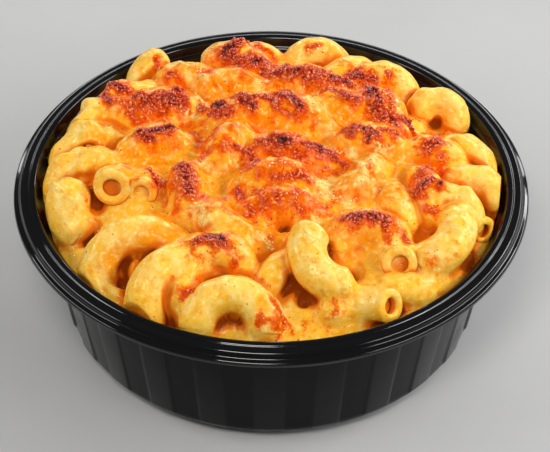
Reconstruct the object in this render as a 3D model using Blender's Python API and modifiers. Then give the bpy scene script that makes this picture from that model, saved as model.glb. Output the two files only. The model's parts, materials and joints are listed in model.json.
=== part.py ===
"""Baked macaroni and cheese in its round black plastic bowl.

Two solids: the thin moulded bowl with its fluted side and stepped rim, and the domed heap of
macaroni and cheese that fills it, solid out to its uneven, elbow-shaped outline.
Metres, +Z up. The origin is the middle of the ring that the bowl stands on.
"""
from math import cos, pi, radians, sin, sqrt

import bmesh
import bpy
import numpy as np

MM = 0.001

# ---------------------------------------------------------------- driving dimensions (mm)
RIM_DIAMETER = 152.0
BOWL_HEIGHT = 48.0
WALL_THICKNESS = 0.8
FOOT_INNER_RADIUS = 49.0
FOOT_OUTER_RADIUS = 55.5
FOOT_RISE = 1.2             # how far the middle of the base stands above its foot ring
CORNER_RADIUS = 4.6         # inside, between base and wall
CORNER_END_RADIUS = 60.0    # inside radius where the corner becomes the wall
WALL_TOP_RADIUS = 67.4      # inside radius just under the rim's ledge
RIM_RADIUS = RIM_DIAMETER / 2

FLUTE_COUNT = 24
FLUTE_DEPTH = 1.0
FLUTE_RIB = 0.50            # share of one flute's pitch that stands out
FLUTE_STEP = 0.08           # share of the pitch taken by each sloping side
VERTICES_PER_FLUTE = 4
AROUND = FLUTE_COUNT * VERTICES_PER_FLUTE

FOOD_GAP = 0.55             # clear space between the food's facets and the bowl's
GRID = 33                   # cells across the heap's top
FOOD_RADIUS = WALL_TOP_RADIUS - FOOD_GAP
CROWN_LIFT = 12.5           # tops of the elbows over the rim, in the middle of the heap
CROWN_DROP = 11.0           # how much lower they are against the wall
COAT = 0.8                  # melted cheese over the elbows
SAUCE_DEPTH = 6.5           # how far the sauce lies under the elbows' tops
DOME_POWER = 4.0            # the heap is flat in the middle and falls away near the wall

SCATTERED = 70              # further elbows that fill the space between the placed ones
SEED = 11

# Placed elbows: x, y, lift of the tube's centreline over the rim (mm), heading, climb and roll
# (degrees), sweep of the bend (degrees), where along the bend the point lies (0 end, 0.5 crown),
# bend radius and tube radius (mm). Roll 0 bends down, 90 to the left, 180 up.
ELBOWS = [
    # the front row, crowns up, legs down against the wall
    (-10.5, -54.0, 2.5, -2, -2, -41, 190, 0.5, 9.4, 5.2),
    (-30.9, -45.4, 3.2, 42, 15, -32, 150, 0.62, 11.5, 5.5),
    (-42.5, -32.5, 3.5, 19, 20, -44, 200, 0.5, 11.8, 5.4),
    (-58.6, -17.0, -0.8, 112, 47, -117, 100, 0.5, 9.0, 6.4),
    (33.6, -56.4, 1.0, 134, -26, 100, 90, 0.0, 13.0, 4.6),
    # open ends that face forward
    (-46.0, -15.4, 8.0, 87, -10, 4, 110, 0.0, 9.0, 5.3),
    (-37.5, -16.2, 7.0, 79, -8, 5, 100, 0.0, 9.0, 4.3),
    (11.6, -35.5, 9.4, -122, -5, 64, 132, 0.0, 9.9, 5.3),
    (36.2, -42.0, 3.6, 84, -32, 100, 100, 0.0, 10.0, 4.9),
    # the right side
    (54.0, -15.5, 4.0, -25, -26, -47, 160, 0.5, 6.5, 4.6),
    (60.0, -3.0, 1.0, -7, -8, -42, 160, 0.5, 7.0, 5.0),
    (61.5, -22.5, -1.0, 120, -11, 54, 100, 0.0, 9.0, 4.0),
    (51.8, -32.0, 3.2, -121, -6, -70, 130, 0.5, 10.5, 5.3),
    # the back
    (52.0, 32.0, 3.0, -13, -15, -43, 200, 0.5, 5.5, 4.4),
    (59.0, 10.5, 1.5, -17, -19, -44, 170, 0.5, 6.5, 4.6),
    (37.0, 43.5, 3.0, -21, -22, -45, 180, 0.5, 7.0, 4.8),
    (15.0, 57.5, 2.5, -7, -8, -42, 170, 0.5, 7.0, 4.8),
    (-3.5, 57.0, 2.0, -10, -11, -42, 170, 0.5, 6.0, 3.9),
    (-34.5, 52.5, 3.0, -167, -15, 43, 110, 0.0, 9.5, 4.8),
    # the left side
    (-52.0, 23.5, 3.0, 17, 19, -44, 130, 0.5, 10.0, 4.8),
    (-58.0, 1.5, 1.5, 21, 22, -45, 150, 0.5, 10.0, 4.8),
    (-56.5, 14.5, 2.0, 13, 15, -43, 150, 0.5, 9.0, 4.0),
    # the high middle and the ridges under the cheese
    (2.5, -9.5, 8.0, -3, -4, -41, 160, 0.5, 10.5, 5.0),
    (-6.0, 21.0, 8.0, 2, 2, -41, 150, 0.5, 12.0, 5.4),
    (4.0, 4.0, 7.6, -12, 0, -41, 150, 0.5, 10.0, 4.8),
    (9.0, 21.5, 7.2, -25, 0, -41, 150, 0.5, 9.0, 4.6),
    (-9.0, 50.5, 5.0, -35, -6, -40, 150, 0.5, 9.0, 5.0),
    (12.0, 37.0, 6.6, -12, -4, -40, 150, 0.5, 10.0, 5.0),
    (34.5, 23.5, 6.0, -62, -8, -35, 150, 0.5, 10.0, 5.0),
    (28.0, 9.5, 6.8, 8, 0, -41, 150, 0.5, 8.5, 4.6),
    (27.0, -28.5, 6.2, 4, 0, -41, 160, 0.5, 9.0, 4.9),
    (-34.0, 26.5, 5.8, 6, 2, -30, 130, 0.5, 10.5, 5.2),
    (-34.0, 9.0, 6.2, 0, 0, -41, 150, 0.5, 8.5, 4.6),
    (-24.3, -14.0, 7.0, -88, -2, 10, 150, 0.5, 9.0, 4.8),
    (-15.0, -38.5, 5.6, -10, 0, -41, 150, 0.5, 9.0, 4.8),
    (45.0, -12.0, 4.8, -75, -4, -10, 140, 0.5, 9.0, 4.6),
    (48.5, 6.5, 4.4, -20, -6, -41, 150, 0.5, 8.0, 4.6),
]
# Places kept clear of scattered elbows, where one looks down between the placed ones: x, y, radius.
CLEARINGS = [
    (-49.5, -26.0, 8.0), (-37.0, -43.0, 6.0), (4.0, -30.0, 7.0), (21.5, -42.0, 7.0),
    (-12.0, -64.0, 6.0), (-28.0, -58.0, 6.0), (9.0, -54.0, 6.0),
]


# ---------------------------------------------------------------- scene helpers
def clear_scene():
    for item in list(bpy.data.objects):
        bpy.data.objects.remove(item, do_unlink=True)


def new_collection(name):
    collection = bpy.data.collections.new(name)
    bpy.context.scene.collection.children.link(collection)
    return collection


def food_grade_material(name, colour, roughness, metallic=0.0):
    material = bpy.data.materials.new(name)
    material.use_nodes = True
    shader = material.node_tree.nodes["Principled BSDF"]
    shader.inputs["Base Color"].default_value = (*colour, 1.0)
    shader.inputs["Roughness"].default_value = roughness
    shader.inputs["Metallic"].default_value = metallic
    return material


def add_object(name, mesh, material, collection):
    item = bpy.data.objects.new(name, mesh)
    mesh.materials.append(material)
    collection.objects.link(item)
    return item


# ---------------------------------------------------------------- bowl
def inner_profile():
    """(radius, height) of the food side, from the middle of the base up the wall and down the skirt."""
    floor = WALL_THICKNESS
    lean = np.arctan((WALL_TOP_RADIUS - CORNER_END_RADIUS) / (BOWL_HEIGHT - 8.0))
    base = [
        (0.0, floor + FOOT_RISE),
        (FOOT_INNER_RADIUS - 3.0, floor + FOOT_RISE),
        (FOOT_INNER_RADIUS, floor),
        (FOOT_OUTER_RADIUS, floor),
    ]
    centre_height = floor + CORNER_RADIUS
    corner = []
    for angle in (radians(-50.0), -lean):
        radius = FOOT_OUTER_RADIUS + CORNER_RADIUS * cos(angle)
        corner.append((radius, centre_height + CORNER_RADIUS * sin(angle)))
    start_radius, start_height = corner[-1]
    top_height = BOWL_HEIGHT - 3.4
    slope = (WALL_TOP_RADIUS - start_radius) / (top_height - start_height)
    wall = []
    for height in (9.0, BOWL_HEIGHT - 9.5, BOWL_HEIGHT - 6.5, top_height):
        wall.append((start_radius + slope * (height - start_height), height))
    rim = [
        (WALL_TOP_RADIUS + 0.9, BOWL_HEIGHT - 2.8),      # ledge the lid would sit on
        (RIM_RADIUS - 6.6, BOWL_HEIGHT),                 # inner lip
        (RIM_RADIUS - 4.9, BOWL_HEIGHT),                 # end of the lip's flat top
        (RIM_RADIUS - 4.4, BOWL_HEIGHT - 0.55),          # low step
        (RIM_RADIUS - 2.2, BOWL_HEIGHT - 0.55),          # flat flange
        (RIM_RADIUS - 1.6, BOWL_HEIGHT - 2.2),           # groove
        (RIM_RADIUS, BOWL_HEIGHT - 2.8),                 # bead
        (RIM_RADIUS, BOWL_HEIGHT - 3.9),                 # lower edge of the skirt
    ]
    return base + corner + wall + rim


def flute_angle(index):
    """Angle of the index-th vertex round the wall: rib start, rib end, hollow start, hollow end.
    The rib is centred between its two vertices' even places, so nothing twists."""
    flute, place = divmod(index, VERTICES_PER_FLUTE)
    shares = (0.0, FLUTE_RIB, FLUTE_RIB + FLUTE_STEP, 1.0 - FLUTE_STEP)
    centring = (0.5 / VERTICES_PER_FLUTE) - FLUTE_RIB / 2
    return 2 * pi * (flute + shares[place] + centring) / FLUTE_COUNT


def flute_depth_at(height):
    """Flutes start in the corner, are full depth up the wall and fade out under the ledge."""
    low_start, low_full = 3.0 * MM, 9.0 * MM
    high_full, high_end = (BOWL_HEIGHT - 9.5) * MM, (BOWL_HEIGHT - 6.5) * MM
    rising = (height - low_start) / (low_full - low_start)
    falling = (high_end - height) / (high_end - high_full)
    return FLUTE_DEPTH * MM * max(0.0, min(1.0, rising, falling + 1e-4))


def press_flutes(mesh):
    """Respace the wall's vertices round the bowl and push those of each rib outwards.
    The base's middle and the rim keep their even spacing."""
    for vertex in mesh.vertices:
        x, y, z = vertex.co
        radius = sqrt(x * x + y * y)
        on_wall = FOOT_OUTER_RADIUS * MM < radius < (WALL_TOP_RADIUS - 0.1) * MM
        if not on_wall:
            continue
        index = round((np.arctan2(y, x) % (2 * pi)) / (2 * pi) * AROUND) % AROUND
        angle = flute_angle(index)
        if index % VERTICES_PER_FLUTE in (0, 1):
            radius += flute_depth_at(z)
        vertex.co = (radius * cos(angle), radius * sin(angle), z)


def build_bowl(collection):
    """A turned sheet, fluted, then thickened away from the food side."""
    profile = [(r * MM, 0.0, z * MM) for r, z in inner_profile()]
    edges = [(i, i + 1) for i in range(len(profile) - 1)]
    line = bpy.data.meshes.new("bowl_profile")
    line.from_pydata(profile, edges, [])
    turned = bpy.data.objects.new("bowl_turned", line)
    collection.objects.link(turned)
    screw = turned.modifiers.new("turn", "SCREW")
    screw.steps = AROUND
    screw.render_steps = AROUND
    screw.use_merge_vertices = True
    screw.merge_threshold = 0.00001
    bpy.context.view_layer.update()
    evaluated = turned.evaluated_get(bpy.context.evaluated_depsgraph_get())
    mesh = bpy.data.meshes.new_from_object(evaluated)
    bpy.data.objects.remove(turned, do_unlink=True)

    shell = bmesh.new()
    shell.from_mesh(mesh)
    bmesh.ops.remove_doubles(shell, verts=shell.verts, dist=0.00001)
    shell.to_mesh(mesh)
    shell.free()
    press_flutes(mesh)
    mesh.name = "bowl"
    mesh.materials.clear()
    black_plastic = food_grade_material("black_plastic", (0.012, 0.012, 0.014), 0.22)
    bowl = add_object("bowl", mesh, black_plastic, collection)
    thicken = bowl.modifiers.new("wall_thickness", "SOLIDIFY")
    thicken.thickness = WALL_THICKNESS * MM
    thicken.offset = -1.0
    thicken.use_even_offset = True
    mesh.shade_smooth()
    mesh.set_sharp_from_angle(angle=radians(25.0))
    return bowl


# ---------------------------------------------------------------- elbows
def elbow_centreline(elbow, samples=15):
    """Points along a bent tube's middle: P0 + R (sin a T + (1 - cos a) N), an arc that leaves
    the anchor along T and curls towards N."""
    x, y, lift, heading, climb, roll, sweep, anchor, bend, _tube = elbow
    h, c, w = radians(heading), radians(climb), radians(roll)
    along = np.array([cos(c) * cos(h), cos(c) * sin(h), sin(c)])
    down = np.array([sin(c) * cos(h), sin(c) * sin(h), -cos(c)])
    left = np.array([-sin(h), cos(h), 0.0])
    inwards = cos(w) * down + sin(w) * left
    angle = np.linspace(-sweep * anchor, sweep * (1 - anchor), samples)[:, None] * pi / 180
    start = np.array([x, y, BOWL_HEIGHT + lift])
    return start + bend * (np.sin(angle) * along + (1 - np.cos(angle)) * inwards)


def crown_dome(radius):
    """Height of the elbows' tops: flat in the middle, falling away towards the wall."""
    return BOWL_HEIGHT + CROWN_LIFT - CROWN_DROP * (radius / WALL_TOP_RADIUS) ** DOME_POWER


def scattered_elbows():
    """Further elbows under the dome, each kept about a tube's width from those already there."""
    rng = np.random.default_rng(SEED)
    taken = [elbow_centreline(e) for e in ELBOWS]
    found = []
    for _attempt in range(6000):
        if len(found) == SCATTERED:
            break
        radius = 60.0 * sqrt(rng.random())
        around = rng.random() * 2 * pi
        tube = rng.uniform(4.2, 5.0)
        lift = crown_dome(radius) - BOWL_HEIGHT - tube - rng.uniform(0.0, 4.0)
        elbow = (radius * cos(around), radius * sin(around), lift,
                 rng.uniform(0, 360), rng.uniform(-15, 15), rng.uniform(-75, 75),
                 rng.uniform(110, 165), 0.5, rng.uniform(7.5, 10.5), tube)
        line = elbow_centreline(elbow)
        if any(np.hypot(line[:, 0] - cx, line[:, 1] - cy).min() < clear for cx, cy, clear in CLEARINGS):
            continue
        reach = np.hypot(line[:, 0], line[:, 1]).max() + tube
        near = min(np.linalg.norm(line[:, None] - other[None], axis=2).min() for other in taken)
        if reach < FOOD_RADIUS and near > 1.5 * tube:
            found.append(elbow)
            taken.append(line)
    return found


# ---------------------------------------------------------------- heap
def heap_height(x, y, elbows):
    """Top of the heap: the sauce dome, or the highest elbow that passes over the point."""
    top = crown_dome(np.hypot(x, y)) - SAUCE_DEPTH
    for elbow in elbows:
        skin = elbow[-1] + COAT
        for px, py, pz in elbow_centreline(elbow)[1:-1]:
            inside = skin ** 2 - (x - px) ** 2 - (y - py) ** 2
            over = pz + np.sqrt(np.maximum(inside, 0.0))
            top = np.where(inside > 0, np.maximum(top, over), top)
    return top


def inner_radius(height):
    """Radius of the bowl's inside at a height on the wall or in the corner (all mm)."""
    radii, heights = zip(*inner_profile()[3:10])
    return float(np.interp(height, heights, radii))


def build_heap(collection):
    """A square grid squeezed into a disc, lifted to the heap's top, with a skirt that follows
    the bowl's inside down to a flat bottom."""
    body = bmesh.new()
    bmesh.ops.create_grid(body, x_segments=GRID, y_segments=GRID, size=1.0)
    flat = np.array([v.co[:2] for v in body.verts])
    x = flat[:, 0] * np.sqrt(1 - flat[:, 1] ** 2 / 2) * FOOD_RADIUS
    y = flat[:, 1] * np.sqrt(1 - flat[:, 0] ** 2 / 2) * FOOD_RADIUS
    height = heap_height(x, y, ELBOWS + scattered_elbows())
    for vertex, place in zip(body.verts, np.stack([x, y, height], axis=1)):
        vertex.co = place * MM

    edge = [e for e in body.edges if e.is_boundary]
    floor_gap = 0.35
    levels = (BOWL_HEIGHT - 9.5, 9.0, WALL_THICKNESS + 3.0)
    rings = [(inner_radius(z) - FOOD_GAP, z) for z in levels]
    rings.append((FOOT_OUTER_RADIUS - 1.0, WALL_THICKNESS + FOOT_RISE + floor_gap))
    for radius, level in rings:
        grown = bmesh.ops.extrude_edge_only(body, edges=edge)["geom"]
        edge = [g for g in grown if isinstance(g, bmesh.types.BMEdge)]
        for vertex in (g for g in grown if isinstance(g, bmesh.types.BMVert)):
            share = radius * MM / sqrt(vertex.co.x ** 2 + vertex.co.y ** 2)
            vertex.co = (vertex.co.x * share, vertex.co.y * share, level * MM)
    edge = [e for e in edge if e.is_boundary]
    bmesh.ops.edgeloop_fill(body, edges=edge)
    bmesh.ops.recalc_face_normals(body, faces=body.faces)
    mesh = bpy.data.meshes.new("macaroni_heap")
    body.to_mesh(mesh)
    body.free()
    mesh.shade_smooth()
    baked_cheese = food_grade_material("baked_cheese", (0.83, 0.42, 0.06), 0.38)
    return add_object("macaroni_heap", mesh, baked_cheese, collection)


clear_scene()
parts = new_collection("mac_and_cheese_bowl")
build_bowl(parts)
build_heap(parts)
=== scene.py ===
# %% [markdown]
# # A bowl of baked macaroni and cheese
#
# The object is a takeaway bowl of thin black plastic, 152 mm across its rim, filled to above the brim
# with elbow macaroni in cheese sauce and browned under a grill. The imported CAD model comes first: it is
# the frame that every piece here has to fit.

# %% Load the frame
import json
from math import atan, pi, radians, sqrt

import bpy
import numpy as np
from mathutils import Matrix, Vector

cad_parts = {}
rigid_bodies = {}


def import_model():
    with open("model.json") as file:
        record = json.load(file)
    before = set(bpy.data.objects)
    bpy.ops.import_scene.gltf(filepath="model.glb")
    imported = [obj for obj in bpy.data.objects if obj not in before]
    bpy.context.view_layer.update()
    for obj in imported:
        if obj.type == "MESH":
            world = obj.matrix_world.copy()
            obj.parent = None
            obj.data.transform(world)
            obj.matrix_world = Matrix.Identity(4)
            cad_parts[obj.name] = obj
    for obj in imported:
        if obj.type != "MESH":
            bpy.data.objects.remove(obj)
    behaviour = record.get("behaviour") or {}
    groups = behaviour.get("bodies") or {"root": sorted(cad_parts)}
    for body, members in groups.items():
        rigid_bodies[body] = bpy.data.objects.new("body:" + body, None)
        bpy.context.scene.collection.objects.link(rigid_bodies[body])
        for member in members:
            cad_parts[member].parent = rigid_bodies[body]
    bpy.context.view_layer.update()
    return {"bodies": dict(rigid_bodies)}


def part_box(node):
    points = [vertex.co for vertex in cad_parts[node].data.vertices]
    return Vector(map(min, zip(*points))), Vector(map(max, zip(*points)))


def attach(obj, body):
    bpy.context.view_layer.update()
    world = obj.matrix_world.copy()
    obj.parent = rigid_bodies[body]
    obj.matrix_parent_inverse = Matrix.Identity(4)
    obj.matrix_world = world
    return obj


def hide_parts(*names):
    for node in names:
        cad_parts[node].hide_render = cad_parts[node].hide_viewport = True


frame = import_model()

MM = 0.001
bowl_low, bowl_high = (np.array(corner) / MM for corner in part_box("bowl"))
RIM_HEIGHT = float(bowl_high[2])
RIM_RADIUS = float(bowl_high[0] - bowl_low[0]) / 2
BODY = sorted(frame["bodies"])[0]
print("rim", round(RIM_RADIUS * 2, 1), "mm across and", round(RIM_HEIGHT, 1), "mm high, on body", BODY)

# %% [markdown]
# ## Meshes from whole arrays
#
# Every surface here is a function of two parameters, so its points come out of numpy as a grid.
# What turns a grid into faces is always the same: each cell joins a point to its three
# neighbours. A grid can close on itself in either direction, as a tube or a ring does.

# %% Grid faces
def grid_faces(rows, columns, ring_rows=False, ring_columns=False, first=0):
    """Four corners of every cell of a grid whose point (i, j) has the number i x columns + j.
    A ring direction joins its last line of points to its first."""
    i, j = np.meshgrid(np.arange(rows - (not ring_rows)),
                       np.arange(columns - (not ring_columns)), indexing="ij")
    below, beside = (i + 1) % rows, (j + 1) % columns
    corners = [i * columns + j, below * columns + j, below * columns + beside, i * columns + beside]
    return np.stack(corners, axis=-1).reshape(-1, 4) + first


print("a grid of 3 x 4 points has", len(grid_faces(3, 4)), "cells, and a tube of them",
      len(grid_faces(3, 4, ring_columns=True)))

# %% [markdown]
# ### From arrays to a piece
#
# Blender takes a mesh's points, corners and faces as flat lists, and foreach_set hands over a
# whole array at once, which is far quicker than adding faces one by one. The measures that the
# materials read, such as how brown a place is, are stored on the points in the same way.

# %% The mesh maker
def make_piece(name, points, faces, material, measures=None):
    """A smooth-shaded mesh from points in millimetres and a list of face arrays (three or four
    corners each). Its signed volume, the sum of each face's cone to the origin, shows which way
    the faces point: if it is negative they are all turned over."""
    volume = 0.0
    for block in faces:
        a = points[block[:, 0]]
        for k in range(1, block.shape[1] - 1):
            b, c = points[block[:, k]], points[block[:, k + 1]]
            volume += float(np.einsum("ij,ij->", a, np.cross(b, c))) / 6
    if volume < 0:
        faces = [block[:, ::-1] for block in faces]
    sides = np.concatenate([np.full(len(block), block.shape[1]) for block in faces])
    mesh = bpy.data.meshes.new(name)
    mesh.vertices.add(len(points))
    mesh.vertices.foreach_set("co", (points * MM).astype(np.float32).ravel())
    mesh.loops.add(int(sides.sum()))
    mesh.loops.foreach_set("vertex_index", np.concatenate([b.ravel() for b in faces]).astype(np.int32))
    mesh.polygons.add(len(sides))
    mesh.polygons.foreach_set("loop_start", (np.cumsum(sides) - sides).astype(np.int32))
    mesh.polygons.foreach_set("use_smooth", np.ones(len(sides), dtype=bool))
    for label, values in (measures or {}).items():
        layer = mesh.attributes.new(label, "FLOAT", "POINT")
        layer.data.foreach_set("value", np.asarray(values, dtype=np.float32))
    mesh.update()
    mesh.validate()
    mesh.materials.append(material)
    piece = bpy.data.objects.new(name, mesh)
    bpy.context.scene.collection.objects.link(piece)
    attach(piece, BODY)
    triangles = int((sides - 2).sum())
    print(f"{name}: {len(points)} points, {triangles} triangles, {abs(volume) / 1000:.1f} ml")
    return piece


# %% [markdown]
# ### Two curves for everything uneven
#
# Real food changes softly from one state to the next, and nothing on it is quite even. An S curve
# makes the soft passages. A sum of sine waves in random directions makes the unevenness, and its
# seed makes it the same in every run.

# %% Soft steps and ripples
def smooth_step(value, low, high):
    """0 below low, 1 above high, and between them the S curve t x t x (3 - 2t)."""
    t = np.clip((value - low) / (high - low), 0.0, 1.0)
    return t * t * (3 - 2 * t)


def ripple(x, y, size, seed, waves=20):
    """Soft unevenness of about -1 to 1: the sum of sine waves that run in random directions, each
    from 0.7 to 1.5 sizes long."""
    rng = np.random.default_rng(seed)
    total = np.zeros(np.broadcast(x, y).shape)
    for heading, length, phase in rng.uniform((0, 0.7, 0), (2 * pi, 1.5, 2 * pi), (waves, 3)):
        step = 2 * pi / (length * size)
        total += np.sin(step * (np.cos(heading) * x + np.sin(heading) * y) + phase)
    return total / sqrt(waves)


print("a quarter of the way up an S curve:", float(smooth_step(0.25, 0, 1)))

# %% [markdown]
# ## Shader nodes
#
# The materials are built from noise, ramps and the measures stored on each piece. A few short
# helpers keep the node wiring readable. A value that is the same all over goes straight on
# the shader's own socket, because a linked constant is lost when the model is exported.

# %% Materials, sockets and textures
def new_material(name):
    """An empty material with one Principled shader, and the tree to hang nodes on."""
    material = bpy.data.materials.new(name)
    material.use_nodes = True
    tree = material.node_tree
    tree.nodes.clear()
    shader = tree.nodes.new("ShaderNodeBsdfPrincipled")
    output = tree.nodes.new("ShaderNodeOutputMaterial")
    tree.links.new(shader.outputs["BSDF"], output.inputs["Surface"])
    return material, tree, shader


def plug(tree, source, socket):
    """Sets a socket to a number or colour, or links another node's output to it."""
    if isinstance(source, bpy.types.NodeSocket):
        tree.links.new(source, socket)
    else:
        socket.default_value = source


def noise(tree, size, detail=2.0, roughness=0.5):
    """Noise in object space whose blotches are about size millimetres across."""
    place = tree.nodes.new("ShaderNodeTexCoord").outputs["Object"]
    texture = tree.nodes.new("ShaderNodeTexNoise")
    tree.links.new(place, texture.inputs["Vector"])
    texture.inputs["Scale"].default_value = 1.0 / (size * MM)
    texture.inputs["Detail"].default_value = detail
    texture.inputs["Roughness"].default_value = roughness
    return texture.outputs["Fac"]


def measure(tree, label):
    """The number stored on each point of a piece under that label."""
    node = tree.nodes.new("ShaderNodeAttribute")
    node.attribute_name = label
    return node.outputs["Fac"]


print("noise scale for blotches of 2 mm:", round(1 / (2 * MM)), "to the metre")

# %% [markdown]
# ### Arithmetic, colour and relief
#
# Food's colour is layers: a body colour, spots over it, browning over those. So most nodes here
# blend one colour into another by a share, and the share is a noise or a measure that is stretched
# along an S curve. Pores and waves too fine for the mesh are relief in the shader.

# %% Arithmetic, colours and relief
def maths(tree, operation, first, second=0.0, third=0.0, clamp=False):
    """One Math node: operation on up to three numbers, sockets or a mix of both."""
    node = tree.nodes.new("ShaderNodeMath")
    node.operation = operation
    node.use_clamp = clamp
    for value, socket in zip((first, second, third), node.inputs):
        plug(tree, value, socket)
    return node.outputs[0]


def spread(tree, value, low, high, to_low=0.0, to_high=1.0):
    """Stretches low..high to to_low..to_high along an S curve, held flat outside."""
    node = tree.nodes.new("ShaderNodeMapRange")
    node.interpolation_type = "SMOOTHSTEP"
    for number, socket in zip((value, low, high, to_low, to_high), node.inputs):
        plug(tree, number, socket)
    return node.outputs[0]


def blend(tree, share, first, second):
    """Colour between first, at share 0, and second, at share 1."""
    node = tree.nodes.new("ShaderNodeMix")
    node.data_type = "RGBA"
    plug(tree, share, node.inputs[0])
    plug(tree, first, node.inputs[6])
    plug(tree, second, node.inputs[7])
    return node.outputs[2]


def ramp(tree, value, stops):
    """Colours at places between 0 and 1, with smooth passages between them."""
    node = tree.nodes.new("ShaderNodeValToRGB")
    plug(tree, value, node.inputs[0])
    elements = node.color_ramp.elements
    while len(elements) < len(stops):
        elements.new(0.5)
    for element, (place, colour) in zip(elements, stops):
        element.position = place
        element.color = colour
    return node.outputs[0]


def bump(tree, height, distance, strength=1.0, under=None):
    """Fine relief: height 0 to 1 stands for distance millimetres."""
    node = tree.nodes.new("ShaderNodeBump")
    node.inputs["Distance"].default_value = distance * MM
    node.inputs["Strength"].default_value = strength
    plug(tree, height, node.inputs["Height"])
    if under is not None:
        plug(tree, under, node.inputs["Normal"])
    return node.outputs[0]


def shade(red, green, blue):
    """A colour written as it looks on screen, 0 to 255, in the linear numbers a shader uses."""
    c = np.array([red, green, blue]) / 255
    linear = np.where(c <= 0.04045, c / 12.92, ((c + 0.055) / 1.055) ** 2.4)
    return (*[float(v) for v in linear], 1.0)


print("ripe yellow in linear light:", [round(v, 3) for v in shade(252, 184, 44)[:3]])

# %% [markdown]
# ## The bowl
#
# The bowl is thermoformed from one sheet, so its wall is the same 0.8 mm everywhere. One
# cross-section line tells it all: a raised base inside a foot ring, a tight corner, a wall that
# leans out, and a rim that steps out to a ledge, up to a lip, half a millimetre down to a flat
# flange, and over a groove to a bead. Carrying that line round an axis gives the sheet. Rounding
# each corner of the line with a short arc is what draws the thin bright lines on the rim.

# %% The bowl's cross-section
WALL = 0.8
FOOD_LEVEL_RADIUS = RIM_RADIUS - 8.6          # inside radius of the wall just under the ledge

SECTION = np.array([                          # radius, height, corner radius
    (0.0, 2.0, 0.0), (46.0, 2.0, 2.0), (49.2, 0.8, 1.0), (55.4, 0.8, 0.5),
    (60.4, 3.6, 5.0), (RIM_RADIUS - 8.6, RIM_HEIGHT - 3.4, 0.6),
    (RIM_RADIUS - 7.7, RIM_HEIGHT - 2.8, 0.4), (RIM_RADIUS - 6.6, RIM_HEIGHT, 1.0),
    (RIM_RADIUS - 4.9, RIM_HEIGHT, 0.5), (RIM_RADIUS - 4.4, RIM_HEIGHT - 0.55, 0.35),
    (RIM_RADIUS - 2.2, RIM_HEIGHT - 0.55, 1.0), (RIM_RADIUS - 1.6, RIM_HEIGHT - 2.2, 0.4),
    (RIM_RADIUS - 0.1, RIM_HEIGHT - 2.8, 1.0), (RIM_RADIUS, RIM_HEIGHT - 3.9, 0.0)])


def rounded_line(corners, steps=4):
    """Replaces each corner of a line by points on a curve that starts and ends one corner radius
    away from it: the corner weighted (1-t)^2, 2t(1-t), t^2 between start, corner and end."""
    line = [corners[0, :2]]
    for before, here, after in zip(corners[:-2], corners[1:-1], corners[2:]):
        back, on = before[:2] - here[:2], after[:2] - here[:2]
        reach = min(here[2], 0.45 * np.linalg.norm(back), 0.45 * np.linalg.norm(on))
        start = here[:2] + back / np.linalg.norm(back) * reach
        end = here[:2] + on / np.linalg.norm(on) * reach
        t = np.linspace(0, 1, steps + 1)[:, None]
        line.extend((1 - t) ** 2 * start + 2 * t * (1 - t) * here[:2] + t ** 2 * end)
    line.append(corners[-1, :2])
    return np.array(line)


def offset_line(line, distance):
    """Moves each point of a line square to the line's own direction there, to its right."""
    way = np.gradient(line, axis=0)
    way /= np.linalg.norm(way, axis=1)[:, None]
    return line + distance * np.stack([way[:, 1], -way[:, 0]], axis=1)


food_side = rounded_line(SECTION)
room_side = offset_line(food_side, WALL)
room_side[0, 0] = 0.0
print("cross-section:", len(food_side), "points on the food side")

# %% [markdown]
# ### Flutes
#
# Twenty-four shallow flutes stiffen the wall. Seen from above they are a square wave with soft
# steps: half of each pitch stands 1 mm proud. Even spacing round the bowl would blur those
# steps, so the points are gathered at them. The flutes fade out into the corner below and under
# the ledge above.

# %% The fluted shell
FLUTES = 24
FLUTE_DEPTH, FLUTE_RIB, FLUTE_STEP = 1.0, 0.50, 0.08


def flute_places():
    """Angles round the bowl, close together at each rib's two steps, and how far each stands
    out there, 0 in the hollow and 1 on the rib."""
    step = FLUTE_STEP * smooth_step(np.linspace(0, 1, 6), 0, 1)
    rib = FLUTE_STEP + (FLUTE_RIB - FLUTE_STEP) * np.array([0.33, 0.67])
    hollow = FLUTE_RIB + FLUTE_STEP + (1 - FLUTE_RIB - FLUTE_STEP) * np.array([0.33, 0.67])
    share = np.concatenate([step, rib, FLUTE_RIB + step, hollow])
    proud = smooth_step(share, 0, FLUTE_STEP) - smooth_step(share, FLUTE_RIB, FLUTE_RIB + FLUTE_STEP)
    centring = -(FLUTE_RIB + FLUTE_STEP) / 2
    angle = (np.arange(FLUTES)[:, None] + share[None] + centring) * 2 * pi / FLUTES
    return angle.ravel(), np.tile(proud, FLUTES)


def flute_fade(height):
    """How deep the flutes are at a height: none at the corner, full up the wall, none at the ledge."""
    return smooth_step(height, 3.0, 9.0) * (1 - smooth_step(height, RIM_HEIGHT - 9.5, RIM_HEIGHT - 6.0))


def fluted_shell():
    """Closed ring of section points carried round the axis. Each radius grows by the flute's depth
    times its fade. Both ends of the section lie on the axis and share one point each."""
    angle, proud = flute_places()
    section = np.vstack([food_side[1:], room_side[:0:-1]])
    radius = section[:, :1] + FLUTE_DEPTH * flute_fade(section[:, 1:2]) * proud[None]
    height = np.repeat(section[:, 1:2], len(angle), axis=1)
    points = np.stack([radius * np.cos(angle), radius * np.sin(angle), height], axis=-1)
    rows, columns = radius.shape
    points = np.vstack([points.reshape(-1, 3), (0, 0, food_side[0, 1]), (0, 0, room_side[0, 1])])
    around = np.arange(columns)
    beside = (around + 1) % columns
    last = (rows - 1) * columns
    top = np.stack([np.full(columns, rows * columns), around, beside], axis=1)
    under = np.stack([np.full(columns, rows * columns + 1), last + beside, last + around], axis=1)
    return points, [grid_faces(rows, columns, ring_columns=True), top, under]


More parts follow.
